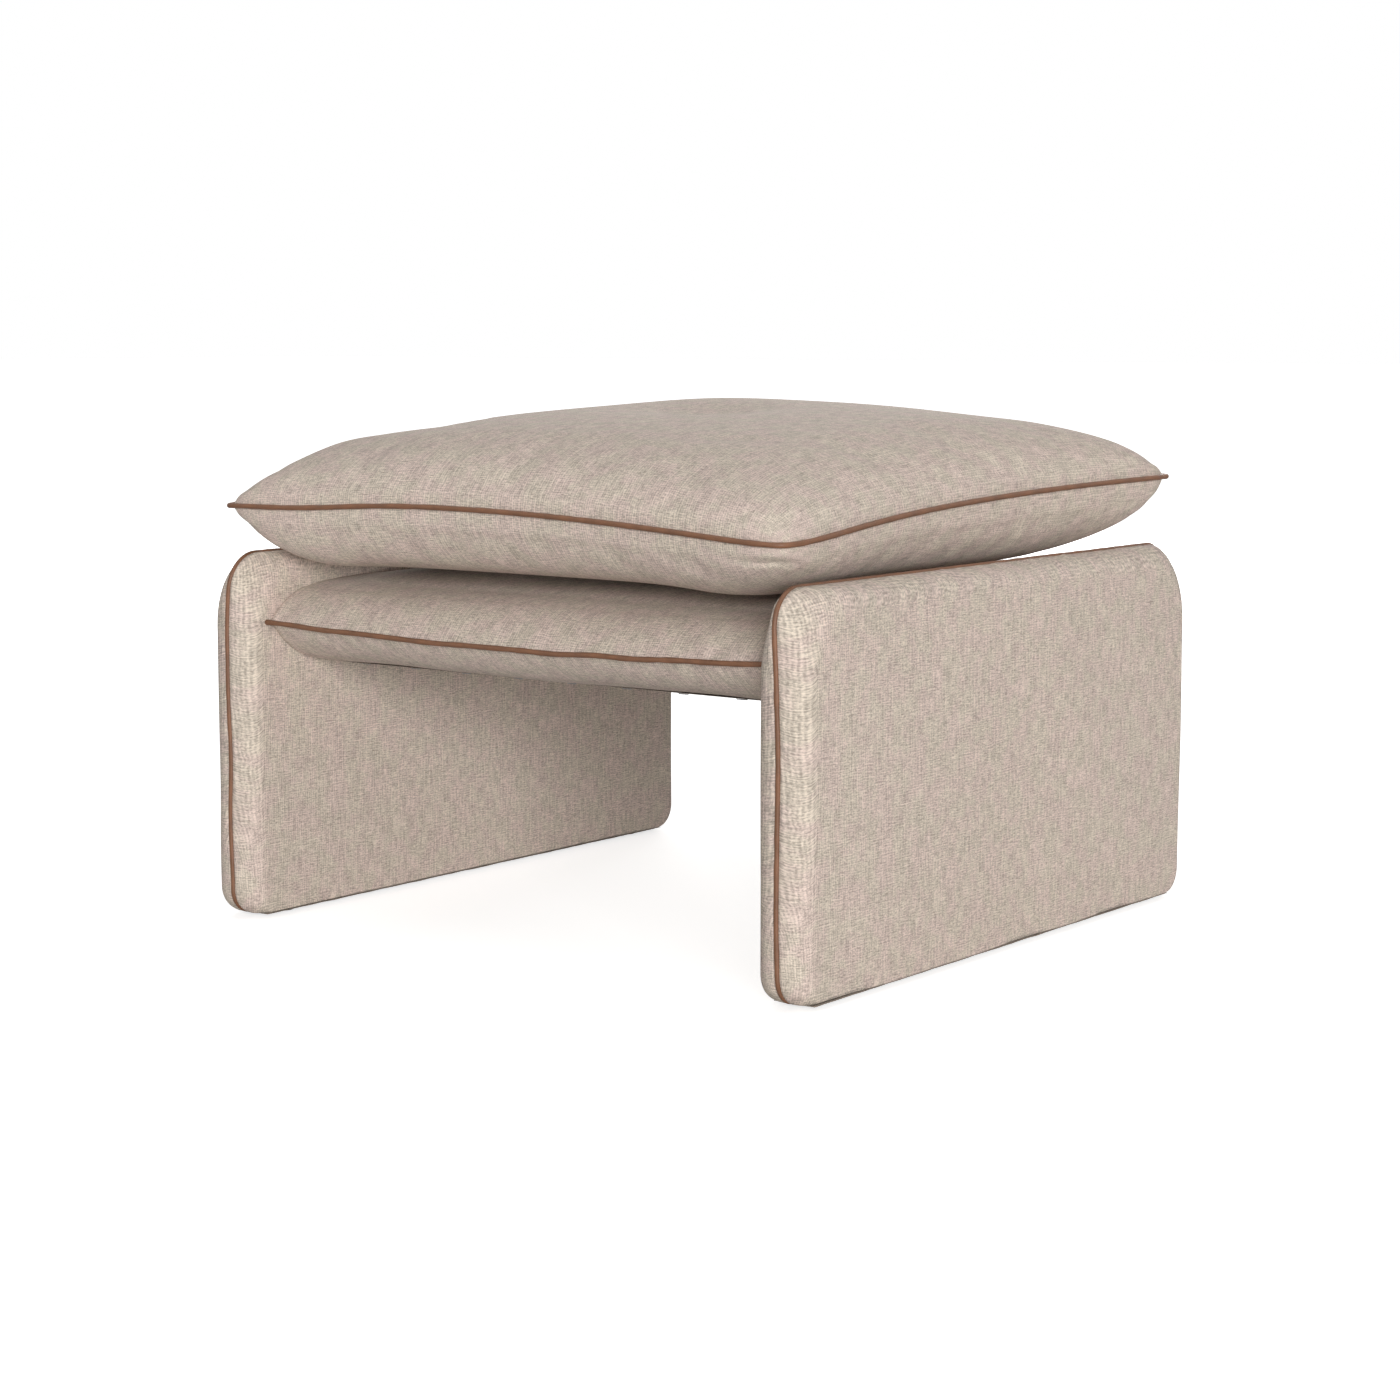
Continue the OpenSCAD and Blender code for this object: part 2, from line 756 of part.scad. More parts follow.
// Height of the surface that the cushion's seam spans
function seam_height(u, v) =
    let (
        front = mix(corner_front_left, corner_front_right, (1 + u) / 2),
        corners = mix(front, corner_back, (1 + v) / 2),
        arch = front_arch * (1 - u * u) + side_arch * (1 - v * v)
    )
    rest_z + corners + arch;

function top_height(u, v, d) =
    let (
        p = plan(u, v, pillow_edge + d),
        swell = top_swell * fill(u, v, swell_power, swell_root) + top_crown * (1 - u * u) * (1 - v * v),
        dip = dimple * exp(-(p.x * p.x + p.y * p.y) / (dimple_r * dimple_r))
    )
    seam_height(u, v) + (swell - dip) * (1 - d / (top_swell + top_crown - dimple));

function under_height(u, v, d) =
    let (depth = (seam_height(u, v) - rest_z) * fill(u, v, under_power, under_root))
    seam_height(u, v) - depth * (1 - d / (corner_back + front_arch));

// Grids of the cushion's two sides for a layer d inside the cloth
function top_grid(d) = [
    for (v = grid_shares) [
        for (u = grid_shares)
            let (p = plan(u, v, pillow_edge + d)) [p.x, p.y, top_height(u, v, d) + seam_split]
    ]
];

function under_grid(d) = [
    for (v = grid_shares) [
        for (u = grid_shares)
            let (p = plan(u, v, pillow_edge + d)) [p.x, p.y, under_height(u, v, d) - seam_split]
    ]
];

// The zip lies just inside the cover, over the grid corner that its far end comes nearest to
function grid_above(share) = min([for (s = grid_shares) if (s >= share) s]);
zip_end = zip_l / 2;
zip_u = grid_above((zip_end + slider_l) / (cushion_a * (1 - draw_in)));
zip_v = grid_above((zip_y + tape_w) / (cushion_b * (1 - draw_in)));
zip_top = under_height(zip_u, zip_v, cloth_t) - seam_split;
tape_z = zip_top + fit_gap;
tooth_z = tape_z + tape_t / 2 - tooth_h / 2;
groove_top = tooth_z + tooth_h + plate_gap + plate_t + groove_clear;

module cushion_insert() {
    groove_w = 2 * (tape_w + groove_clear) + tape_slit;
    groove_l = tape_l + 2 * groove_clear;
    color(ticking_color) difference() {
        slab(top_grid(under_cloth), under_grid(under_cloth));
        translate([-groove_l / 2, zip_y - groove_w / 2, rest_z - 1])
            cube([groove_l, groove_w, groove_top - rest_z + 1]);
    }
}

module cushion_top_cover() {
    color(cloth_color) slab(top_grid(0), top_grid(cloth_t));
}

// Rows of points turned upside down about the floor
function upturned(rows) = [for (row = rows) [for (p = row) [p.x, p.y, -p.z]]];

// The underside is drawn belly up and turned over, with a slot for the zip
module cushion_bottom_cover() {
    color(cloth_color) difference() {
        mirror([0, 0, 1]) slab(upturned(under_grid(0)), upturned(under_grid(cloth_t)));
        translate([-zip_end - slider_l / 2, zip_y - zip_slot / 2, rest_z - 1])
            cube([zip_l + slider_l, zip_slot, groove_top - rest_z]);
    }
}

module cushion_piping() {
    side = [for (i = [0 : grid - 1]) grid_shares[i]];
    ring = concat(
        [for (s = side) [s, -1]],
        [for (s = side) [1, s]],
        [for (s = side) [-s, 1]],
        [for (s = side) [-1, -s]]
    );
    path = [for (q = ring) let (p = plan(q.x, q.y, 0)) [p.x, p.y, seam_height(q.x, q.y)]];
    color(piping_color) tube(path, piping_r, [0, 0, 1], closed = true);
}

// Zip in the underside of the cushion

module zip_tapes() {
    color(tape_color) for (side = [0, 1])
        translate([0, zip_y, 0]) mirror([0, side, 0])
            translate([-tape_l / 2, tape_slit / 2 + tooth_reach, tape_z])
                cube([tape_l, tape_w - tooth_reach, tape_t]);
}

// One row of teeth on its cord, set half a pitch off the other row
module tooth_row(shift) {
    count = floor(zip_l / tooth_pitch) - 1;
    first = -count * tooth_pitch / 2 + shift * tooth_pitch / 2;
    w = tooth_pitch / 2;
    back = tooth_reach - tape_overlap;
    root = back - cord_w;
    comb = [
        for (i = [0 : count - 1])
            let (x = first + i * tooth_pitch)
            each [[x, root], [x, 0], [x + w, 0], [x + w, root]]
    ];
    cord = [[zip_end, root], [zip_end, back], [-zip_end, back], [-zip_end, root]];
    linear_extrude(tooth_h) polygon(concat(comb, cord));
}

module zip_teeth() {
    color(steel_color) translate([0, zip_y, tooth_z]) {
        translate([0, tape_slit / 2, 0]) tooth_row(0);
        mirror([0, 1, 0]) translate([0, tape_slit / 2, 0]) tooth_row(1);
    }
}

module zip_stops() {
    x = zip_end + slider_l / 2;
    y = (tape_slit + stop_w + tape_overlap) / 2;
    color(steel_color) for (side = [-1, 1], row = [-1, 1])
        translate([side * x, zip_y + row * y, tooth_z + tooth_h / 2])
            cube([stop_l, stop_w, tooth_h], center = true);
}

// Two plates on one post, which runs in the slit between the rows of teeth
module zip_slider() {
    low = tooth_z - plate_gap - plate_t;
    high = tooth_z + tooth_h + plate_gap;
    x = zip_end - slider_l / 2 - post_w;
    color(steel_color) translate([x, zip_y, 0]) union() {
        for (z = [low, high])
            translate([0, 0, z]) linear_extrude(plate_t) intersection() {
                square([slider_l, slider_w], center = true);
                circle(d = slider_round, $fn = 48);
            }
        translate([-post_l / 2, -post_w / 2, low + 0.1]) cube([post_l, post_w, high - low]);
    }
}

left_side() board();  // left_board
right_side() board();  // right_board
left_side() inner_pad();  // left_inner_pad
right_side() inner_pad();  // right_inner_pad
left_side() outer_pad();  // left_outer_pad
right_side() outer_pad();  // right_outer_pad
left_side() inner_cover();  // left_inner_cover
right_side() inner_cover();  // right_inner_cover
left_side() outer_cover();  // left_outer_cover
right_side() outer_cover();  // right_outer_cover
left_side() panel_piping();  // left_piping
right_side() panel_piping();  // right_piping
left_side() foot_lining();  // left_foot_lining
right_side() foot_lining();  // right_foot_lining
left_side() glides();  // left_glides
right_side() glides();  // right_glides
tee_nuts();
deck_bolts();
deck_washers();
cross_rail();  // front_rail
mirror([0, 1, 0]) cross_rail();  // rear_rail
mirror([1, 0, 0]) end_rail();  // left_rail
end_rail();  // right_rail
corner_blocks();
corner_screws();
long_webbing();
cross_webbing();
deck_foam();
roll();  // front_roll
mirror([0, 1, 0]) roll();  // rear_roll
deck_cover();
under_cover();  // front_under_cover
mirror([0, 1, 0]) under_cover();  // rear_under_cover
deck_piping();  // front_piping
mirror([0, 1, 0]) deck_piping();  // rear_piping
deck_lining();
cushion_insert();
cushion_top_cover();
cushion_bottom_cover();
cushion_piping();
zip_tapes();
zip_teeth();
zip_stops();
zip_slider();
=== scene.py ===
import json
import math

import bpy
import numpy as np
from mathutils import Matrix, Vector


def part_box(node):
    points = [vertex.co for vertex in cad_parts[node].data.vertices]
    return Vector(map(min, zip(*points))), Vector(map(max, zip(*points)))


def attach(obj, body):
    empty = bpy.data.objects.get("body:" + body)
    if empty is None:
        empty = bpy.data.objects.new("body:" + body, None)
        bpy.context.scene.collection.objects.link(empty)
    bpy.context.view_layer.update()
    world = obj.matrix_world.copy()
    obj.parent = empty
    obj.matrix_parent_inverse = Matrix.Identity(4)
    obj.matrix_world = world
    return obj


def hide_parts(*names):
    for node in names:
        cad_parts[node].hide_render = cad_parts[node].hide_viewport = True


bl_info = {
    "name": "Padded ottoman",
    "version": (1, 0, 0),
    "blender": (4, 5, 0),
    "location": "View3D > Sidebar > Ottoman",
    "description": "Dresses a padded ottoman: piped panels, a padded deck and a loose knife-edge cushion",
    "category": "Object",
}

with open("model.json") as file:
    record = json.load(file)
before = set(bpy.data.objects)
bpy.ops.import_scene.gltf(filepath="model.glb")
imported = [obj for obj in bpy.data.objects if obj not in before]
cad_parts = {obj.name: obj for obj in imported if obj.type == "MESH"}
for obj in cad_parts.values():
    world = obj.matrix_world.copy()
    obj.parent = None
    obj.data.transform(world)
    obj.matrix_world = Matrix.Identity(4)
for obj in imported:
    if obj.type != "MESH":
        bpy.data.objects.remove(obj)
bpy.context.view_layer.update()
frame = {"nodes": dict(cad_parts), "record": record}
NODES = frame["nodes"]
FIXED = "frame"
LOOSE = "cushion"

# Radius of the cords, how deep they are set into their seams, and half the gap that a seam leaves for them
CORD_R = 0.00225
CORD_SET = 0.0006
SEAM_HALF = 0.0024

# Thickness of the deck's cloth and of the linings
CLOTH_T = 0.0012
LINING_T = 0.0004

# Clearances between the deck's foam and its rolls, between the panels' foam and their boards, and between
# the zip's slider and what lies over it
FOAM_GAP = 0.0003
BOARD_GAP = 0.0001
SLIDER_GAP = 0.0006

# Half the width of the zip's slot, the width in plan of its walls, and how far it runs past the teeth
SLOT_HALF = 0.0050
SLOT_WALL = 0.0002
SLOT_PAST = 0.0055

# Measures that are read off the frame
PANEL_LOW, PANEL_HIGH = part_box("right_piping")
SEAM_X = (PANEL_LOW.x + PANEL_HIGH.x) / 2
PANEL_Y = PANEL_HIGH.y - CORD_R + CORD_SET
PANEL_TOP = PANEL_HIGH.z - CORD_R + CORD_SET
PANEL_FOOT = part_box("right_inner_cover")[0].z
PANEL_HALF_T = SEAM_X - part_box("right_inner_cover")[0].x
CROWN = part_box("right_outer_cover")[1].x - SEAM_X - PANEL_HALF_T
DECK_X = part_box("deck_cover")[1].x
NOSE_Y = -(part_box("front_piping")[0].y + CORD_R)
RAIL_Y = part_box("left_rail")[1].y
RAIL_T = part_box("front_rail")[1].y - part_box("front_rail")[0].y
REST_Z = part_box("cushion_bottom_cover")[0].z
ZIP_LOW, ZIP_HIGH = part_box("zip_tapes")
ZIP_Y = (ZIP_LOW.y + ZIP_HIGH.y) / 2
SLOT_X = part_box("zip_teeth")[1].x + SLOT_PAST
ROLL_BACK = -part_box("front_roll")[1].y
ROLL_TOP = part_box("deck_foam")[0].z - FOAM_GAP
FOAM_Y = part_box("deck_foam")[1].y
INSERT_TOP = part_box("zip_slider")[1].z + SLIDER_GAP
BOARD_IN = SEAM_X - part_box("right_board")[0].x
BOARD_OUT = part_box("right_board")[1].x - SEAM_X
FOOT_LOW, FOOT_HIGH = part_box("right_foot_lining")
LINING_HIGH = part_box("deck_lining")[1]
DECK_END = NOSE_Y - SEAM_HALF
RAIL_IN = RAIL_Y - RAIL_T

# How far a panel's seam strays inwards at the top, and from how far below the top it does so
SEAM_LEAN = 0.0045
SEAM_LEAN_BELOW = 0.08

# Points of a panel's loop on each corner, up each side, and along the top and the foot, for the cover and
# for the padding
PANEL_STEPS = (14, 84, 176)
PAD_STEPS = (8, 12, 24)

# How far the padding lies inside the cloth of the panels, the deck and the cushion
PAD_INSIDE = 0.0026
DECK_PAD_INSIDE = 0.0032
FILLING_INSIDE = 0.008

# Power and root of the cushion's fullness, over and under its seam
TOP_FULL = (5.36, 0.40)
UNDER_FULL = (7.7, 0.44)

# Places in the share square, reaches and heights of the slow rises and dips that the photograph shows
TOP_SETTLED = ((0.58, 0.68, 0.34, -0.0048), (-0.28, 0.40, 0.26, 0.0030), (-0.65, -0.43, 0.13, -0.0030),
               (-0.82, -0.73, 0.11, 0.0040))
UNDER_SETTLED = ((-0.80, -0.86, 0.16, -0.0065), (0.70, -0.73, 0.20, -0.0060), (0.88, 0.78, 0.24, 0.0060))

# Place, direction in degrees, depth, width and reach of the crease pressed into the cushion's top
CREASE_X, CREASE_Y = 0.160, -0.175
CREASE_TURN = 25
CREASE_DEEP = 0.0016
CREASE_WIDE, CREASE_LONG = 0.011, 0.040

# The simulation of the stuffed cover: its lines, its frames, its cloth, the farthest that a point may move
# and the share of its fine folds that is kept
SIM_LINES = 64
SIM_FRAMES = 20
SIM_CLOTH = {"quality": 6, "mass": 0.25, "tension_stiffness": 18, "compression_stiffness": 18,
             "shear_stiffness": 8, "bending_stiffness": 0.35, "use_pressure": True,
             "uniform_pressure_force": 4, "vertex_group_mass": "seam", "shrink_min": -0.035}
MOST_MOVE = 0.022
FOLD_SHARE = 0.25

# The lamps' names, places, widths, heights and watts, where they aim, and the strength of the sky
LAMPS = (("softbox", (7.10, -7.20, 2.00), 5.0, 3.8, 930),
         ("overhead", (0.2, -0.2, 3.4), 2.4, 2.4, 26),
         ("back", (-2.60, 4.30, 1.50), 2.6, 2.0, 125))
LAMP_AIM = (0, 0, 0.22)
SKY = 0.20
WHITE = (1, 1, 1, 1)

# The floor: half its side, its colour, and the distances between which its glow rises from one strength to
# the other, for the camera only
FLOOR_HALF = 40.0
FLOOR_COLOUR = (0.70, 0.69, 0.68, 1)
GLOW_FROM, GLOW_TO = 0.8, 3.0
GLOW_NEAR, GLOW_FAR = 0.70, 1.0

# The photograph's viewpoint, its direction in degrees below the level and to the left of +Y, and the lens
# and the film in millimetres
VIEWPOINT = (1.56143, -2.08364, 0.52111)
VIEW_DOWN, VIEW_TURN = 7.2773, 37.0233
LENS, FILM = 74.277, 36

# Every finish by its slot, filled when the first piece asks for one
FINISHES = {}


def mix(a, b, t):
    """a where t is 0 and b where t is 1."""
    return a + (b - a) * t


def ease(t):
    """Rises from 0 to 1 with level ends: 3t^2 - 2t^3 of t kept between 0 and 1."""
    t = np.clip(t, 0, 1)
    return t * t * (3 - 2 * t)


def bell(value, middle, width):
    """1 at its middle and falling off to both sides: e to the minus square of the distance in widths."""
    return np.exp(-((value - middle) / width) ** 2)


def ripples(place, length, seed, height=1.0, waves=12):
    """Smooth uneven waves, mostly under their height: a sum of sines in directions drawn from a seed."""
    draw = np.random.default_rng(seed)
    place = np.asarray(place, float)
    along = draw.normal(size=(waves, place.shape[-1]))
    along /= np.linalg.norm(along, axis=1, keepdims=True)
    lengths = length * draw.uniform(0.7, 1.7, waves)
    phase = draw.uniform(0, 2 * math.pi, waves)
    turns = place @ (along * (2 * math.pi / lengths)[:, None]).T + phase
    return height * (np.sin(turns).sum(-1) * 1.2 / math.sqrt(waves))


def slopes(points, axis, closed):
    """Central differences of a grid of points along one of its axes, which may be closed."""
    if closed:
        return np.roll(points, -1, axis) - np.roll(points, 1, axis)
    return np.gradient(points, axis=axis)


def outward(points, closed_cols=False, flip=False):
    """Unit normals of a grid: the cross product of its slopes along the columns and the rows."""
    n = np.cross(slopes(points, 1, closed_cols), slopes(points, 0, False))
    n /= np.linalg.norm(n, axis=-1, keepdims=True) + 1e-12
    return -n if flip else n


def quads_of(rows, cols, closed_rows, closed_cols, flip, first):
    """Four corner numbers for each cell of a grid whose points are numbered row by row."""
    i = np.arange(rows if closed_rows else rows - 1)[:, None]
    j = np.arange(cols if closed_cols else cols - 1)[None, :]
    below, after = (i + 1) % rows, (j + 1) % cols
    corners = [i * cols + j, i * cols + after, below * cols + after, below * cols + j]
    quads = np.stack(corners, -1).reshape(-1, 4) + first
    return quads[:, ::-1] if flip else quads


def even_grid(half_w, half_l, columns, rows):
    """X and Y of an even grid of points round the middle."""
    return np.meshgrid(np.linspace(-half_w, half_w, columns), np.linspace(-half_l, half_l, rows))


def merged(points):
    """Which points to keep of those that coincide, and the number of each point among the kept ones."""
    found = np.unique(np.round(points * 1e7), axis=0, return_index=True, return_inverse=True)
    return found[1], found[2].reshape(-1)


class Shape:
    """A mesh in the making: grids of points, their cells and the place of each point on the flat cloth."""

    def __init__(self):
        self.points, self.cells, self.cloth, self.count = [], [], [], 0

    def add(self, points, cloth=None, closed_rows=False, closed_cols=False, flip=False):
        """Takes in one more grid of points, which may be closed along its rows or its columns."""
        rows, cols = points.shape[:2]
        self.cells.append(quads_of(rows, cols, closed_rows, closed_cols, flip, self.count))
        self.points.append(points.reshape(-1, 3))
        flat = np.zeros((rows, cols, 2)) if cloth is None else cloth
        self.cloth.append(flat.reshape(-1, 2))
        self.count += rows * cols
        return self

    def add_rings(self, rings, flip=False):
        """Rings of points with the two ends closed onto their own middles."""
        ends = [np.broadcast_to(rings[k].mean(0), rings[k].shape) for k in (0, -1)]
        points = np.concatenate([ends[:1], rings, ends[1:]])
        return self.add(points, closed_cols=True, flip=flip)

    def piece(self, name, body, slot, finishes, replaces=()):
        """Merges points that coincide, drops cell sides that have no length, and makes the object."""
        points, cells = np.concatenate(self.points), np.concatenate(self.cells)
        cloth = np.concatenate(self.cloth)
        kept, number = merged(points)
        corners = number[cells]
        same = corners == np.roll(corners, 1, axis=1)
        whole, three = same.sum(1) == 0, same.sum(1) == 1
        faces = [corners[whole], corners[three][~same[three]].reshape(-1, 3)]
        spots = [cells[whole], cells[three][~same[three]].reshape(-1, 3)]
        mesh = bpy.data.meshes.new(name)
        mesh.from_pydata(points[kept], [], faces[0].tolist() + faces[1].tolist())
        layer = mesh.uv_layers.new(name="cloth")
        flat = np.concatenate([cloth[spot.reshape(-1)] for spot in spots])
        layer.data.foreach_set("uv", flat.astype(np.float32).reshape(-1))
        mesh.polygons.foreach_set("use_smooth", np.ones(len(mesh.polygons), bool))
        mesh.materials.append(finishes[slot])
        mesh.update()
        piece = bpy.data.objects.new(name, mesh)
        bpy.context.scene.collection.objects.link(piece)
        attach(piece, body)
        if replaces:
            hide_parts(*replaces)
        return piece


def thicken(piece, thickness):
    """Gives a cloth its thickness behind its outer face."""
    wall = piece.modifiers.new("thickness", "SOLIDIFY")
    wall.thickness, wall.offset = thickness, -1


def lengths_along(path):
    """Distance run along a path at each of its points."""
    step = np.linalg.norm(np.diff(path, axis=0), axis=1)
    return np.concatenate([[0], np.cumsum(step)])


def laid_flat(points, alike=False):
    """Where a grid's points lie on the flat cloth: the lengths run over it from its middle lines.

    With alike, every row has the lengths of the middle row and every column those of the middle one.
    """
    flat = []
    for axis in (1, 0):
        step = np.linalg.norm(np.diff(points, axis=axis), axis=-1)
        if alike:
            step = np.take(step, [step.shape[1 - axis] // 2], axis=1 - axis) * np.ones_like(step)
        run = np.insert(np.cumsum(step, axis=axis), 0, 0, axis=axis)
        flat.append(run - np.take(run, [points.shape[axis] // 2], axis=axis))
    return np.stack(flat, -1)


def cord_grid(path, radius, up, closed=False, sides=14):
    """Rings round a path, square to the way it runs: radius times the cosine and sine of the turn.

    An open cord ends in three rings that close in on its last point like a quarter circle.
    """
    run = slopes(path[:, None, :], 0, closed)[:, 0]
    run /= np.linalg.norm(run, axis=1, keepdims=True)
    across = np.cross(run, up)
    across /= np.linalg.norm(across, axis=1, keepdims=True)
    rise = np.cross(across, run)
    radii = np.broadcast_to(np.asarray(radius, float), len(path))
    if not closed:
        turn = np.radians([90, 55, 25])
        order = np.concatenate([[0] * 3, np.arange(len(path)), [len(path) - 1] * 3])
        push = np.concatenate([-np.sin(turn), np.zeros(len(path)), np.sin(turn[::-1])]) * radii[0]
        shrink = np.concatenate([np.cos(turn), np.ones(len(path)), np.cos(turn[::-1])])
        shrink[[0, -1]] = 0
        path = path[order] + run[order] * push[:, None]
        across, rise, radii = across[order], rise[order], radii[order] * shrink
    angle = np.linspace(0, 2 * math.pi, sides, endpoint=False)
    ring = across[:, None] * np.cos(angle)[None, :, None] + rise[:, None] * np.sin(angle)[None, :, None]
    points = path[:, None] + ring * radii[:, None, None]
    along = lengths_along(path)[:, None] * np.ones(sides)
    return points, np.stack([along, angle[None, :] * CORD_R * np.ones((len(path), 1))], -1)


def cord(name, body, path, up, finishes, replaces, seed, closed=False):
    """A covered cord: a tube whose radius swells and thins a little along its length."""
    uneven = 1 + ripples(lengths_along(path)[:, None], length=0.03, seed=seed, height=0.035)
    points, flat = cord_grid(path, CORD_R * uneven, up, closed)
    shape = Shape().add(points, flat, closed_rows=closed, closed_cols=True)
    return shape.piece(name, body, "piping", finishes, replaces)


class Link:
    """An output socket. Sums and products of links and numbers add the Math nodes for them."""

    def __init__(self, maker, socket):
        self.maker, self.socket = maker, socket

    def calc(self, operation, *others):
        """The result of a Math node whose first value is this link."""
        return self.maker.node("ShaderNodeMath", {"operation": operation}, (self, *others))

    def __add__(self, other):
        return self.calc("ADD", other)

    def __mul__(self, other):
        return self.calc("MULTIPLY", other)

    def __sub__(self, other):
        return self.calc("SUBTRACT", other)

    def __truediv__(self, other):
        return self.calc("DIVIDE", other)

    def __rsub__(self, other):
        return self.maker.node("ShaderNodeMath", {"operation": "SUBTRACT"}, (other, self))

    __radd__ = __add__
    __rmul__ = __mul__


class NodeMaker:
    """Adds nodes to a tree of shaders, a material's or the sky's."""

    def __init__(self, owner):
        owner.use_nodes = True
        self.tree = owner.node_tree

    def node(self, kind, settings=None, values=(), out=0):
        """Adds a node, sets its settings, then its sockets from numbers, colours or links."""
        made = self.tree.nodes.new(kind)
        for key, value in (settings or {}).items():
            setattr(made, key, value)
        pairs = values.items() if isinstance(values, dict) else enumerate(values)
        for key, value in pairs:
            if isinstance(value, Link):
                self.tree.links.new(value.socket, made.inputs[key])
            else:
                made.inputs[key].default_value = value
        return Link(self, made.outputs[out])

    def shown(self, link, output):
        """Links what the whole tree gives to its output node."""
        self.tree.links.new(link.socket, self.tree.nodes[output].inputs["Surface"])


class Finish(NodeMaker):
    """A material whose surface is one Principled shader, built up from links."""

    def __init__(self, name, rough, **settings):
        self.material = bpy.data.materials.new(name)
        super().__init__(self.material)
        self.shader = self.tree.nodes["Principled BSDF"]
        self.shader.inputs["Roughness"].default_value = rough
        for key, value in settings.items():
            self.shader.inputs[key.replace("_", " ")].default_value = value

    def cloth_place(self):
        """The place on the flat cloth, from the piece's own map."""
        return self.node("ShaderNodeUVMap", {"uv_map": "cloth"})

    def object_place(self):
        """The place in the object."""
        return self.node("ShaderNodeTexCoord", out="Object")

    def split(self, place, count=3):
        """The X, Y and Z of a place, or the first two of them."""
        return [self.node("ShaderNodeSeparateXYZ", values=(place,), out=k) for k in range(count)]

    def joined(self, x, y, z=0.0):
        """A place from its X, Y and Z."""
        return self.node("ShaderNodeCombineXYZ", values=(x, y, z))

    def noise(self, place, scale, detail=2.0, rough=0.5):
        """Noise of about 0 to 1, with a mean of one half."""
        values = {"Vector": place, "Scale": scale, "Detail": detail, "Roughness": rough}
        return self.node("ShaderNodeTexNoise", values=values)

    def threads(self, u, v, size_u, size_v, detail=1.0):
        """Noise drawn out into threads of a size in metres along both directions of the flat cloth."""
        return self.noise(self.joined(u / size_u, v / size_v), 1.0, detail)

    def grain(self, scale_x, scale_yz, detail=2.0, rough=0.6):
        """Noise in the object with one scale along X and another along Y and Z."""
        x, y, z = self.split(self.object_place())
        return self.noise(self.joined(x * scale_x, y * scale_yz, z * scale_yz), 1.0, detail, rough)

    def wave(self, turns):
        """A sine of 0 to 1 that repeats with each whole turn."""
        return (turns * (2 * math.pi)).calc("SINE") * 0.5 + 0.5

    def blend(self, share, first, second, kind="MIX"):
        """One colour for another, by the share."""
        settings = {"data_type": "RGBA", "blend_type": kind, "clamp_factor": True}
        return self.node("ShaderNodeMix", settings, {0: share, 6: first, 7: second}, out=2)

    def ramp(self, value, low, high):
        """0 below low and 1 above high, with a smooth rise between them."""
        settings = {"interpolation_type": "SMOOTHSTEP"}
        return self.node("ShaderNodeMapRange", settings, {0: value, 1: low, 2: high})

    def put(self, name, link):
        """Links what changes over the surface to a socket of its shader."""
        self.tree.links.new(link.socket, self.shader.inputs[name])

    def tones(self, share, colour, dark, pale):
        """Colours the surface from a darker to a paler tone of one colour."""
        self.put("Base Color", self.blend(share, shade(colour, dark), shade(colour, pale)))

    def bump(self, height, distance, strength):
        """Raises and sinks the surface for the light, by a height times a distance in metres."""
        values = {"Height": height, "Distance": distance, "Strength": strength}
        self.put("Normal", self.node("ShaderNodeBump", values=values))


def linear(colour):
    """A colour written as the eye sees it, turned into the light that a shader works with."""
    low, high = [c / 12.92 for c in colour], [((c + 0.055) / 1.055) ** 2.4 for c in colour]
    return [h if c > 0.04045 else b for c, b, h in zip(colour, low, high)] + [1.0]


def shade(colour, factor):
    """A colour made lighter or darker by a factor."""
    return linear([min(1, c * factor) for c in colour[:3]])


def upholstery(colours):
    """Heathered plain weave: ribs, uneven threads both ways, slubs, and faint pink and green patches."""
    rib_pitch, bar_pitch = 0.0023, 0.0021
    cloth = Finish("heathered_cloth", 0.95, Sheen_Weight=0.05, Sheen_Roughness=0.5, Specular_IOR_Level=0.2)
    flat = cloth.cloth_place()
    u, v = cloth.split(flat, 2)
    sway = cloth.noise(flat, 55.0, 1.0)
    rib = cloth.wave(u / rib_pitch + sway * 1.5)
    bar = cloth.wave(v / bar_pitch + sway * 1.5)
    warp = cloth.threads(u, v, rib_pitch, 0.018, 0.0)
    weft = cloth.threads(u, v, 0.0036, 0.0009)
    fleck = cloth.threads(u, v, 0.0010, 0.0016)
    slub = cloth.threads(u, v, 0.012, 0.0012)
    cloud = cloth.noise(flat, 70.0)
    tone = rib * 0.07 + bar * 0.04 + warp * 0.16 + weft * 0.34 + fleck * 0.34 + slub * 0.28 + cloud * 0.10
    light = cloth.ramp(tone, 0.49, 0.84)
    grain = cloth.blend(light, shade(colours.cloth, 0.80), shade(colours.cloth, 1.15))
    patch = cloth.ramp(cloth.noise(flat, 42.0, 3.0, 0.6), 0.38, 0.62)
    tint = cloth.blend(patch, linear(colours.cloth_cool), linear(colours.cloth_warm))
    cloth.put("Base Color", cloth.blend(1.0, grain, tint, "MULTIPLY"))
    cloth.bump(fleck + weft + rib * 0.3 + bar * 0.2, 0.0005, 0.5)
    return cloth.material


def cord_leather(colours):
    """Brown leather-like cord cover: fine pores, and soft patches of its tone and its gloss."""
    hide = Finish("cord_leather", 0.5, Specular_IOR_Level=0.4)
    flat = hide.cloth_place()
    pores = hide.noise(flat, 900.0, 3.0, 0.6)
    patches = hide.noise(flat, 60.0)
    hide.tones(hide.ramp(pores * 0.5 + patches * 0.6, 0.35, 0.75), colours.cord, 0.86, 1.1)
    hide.put("Roughness", 0.42 + patches * 0.2)
    hide.bump(pores, 0.0003, 0.4)
    return hide.material


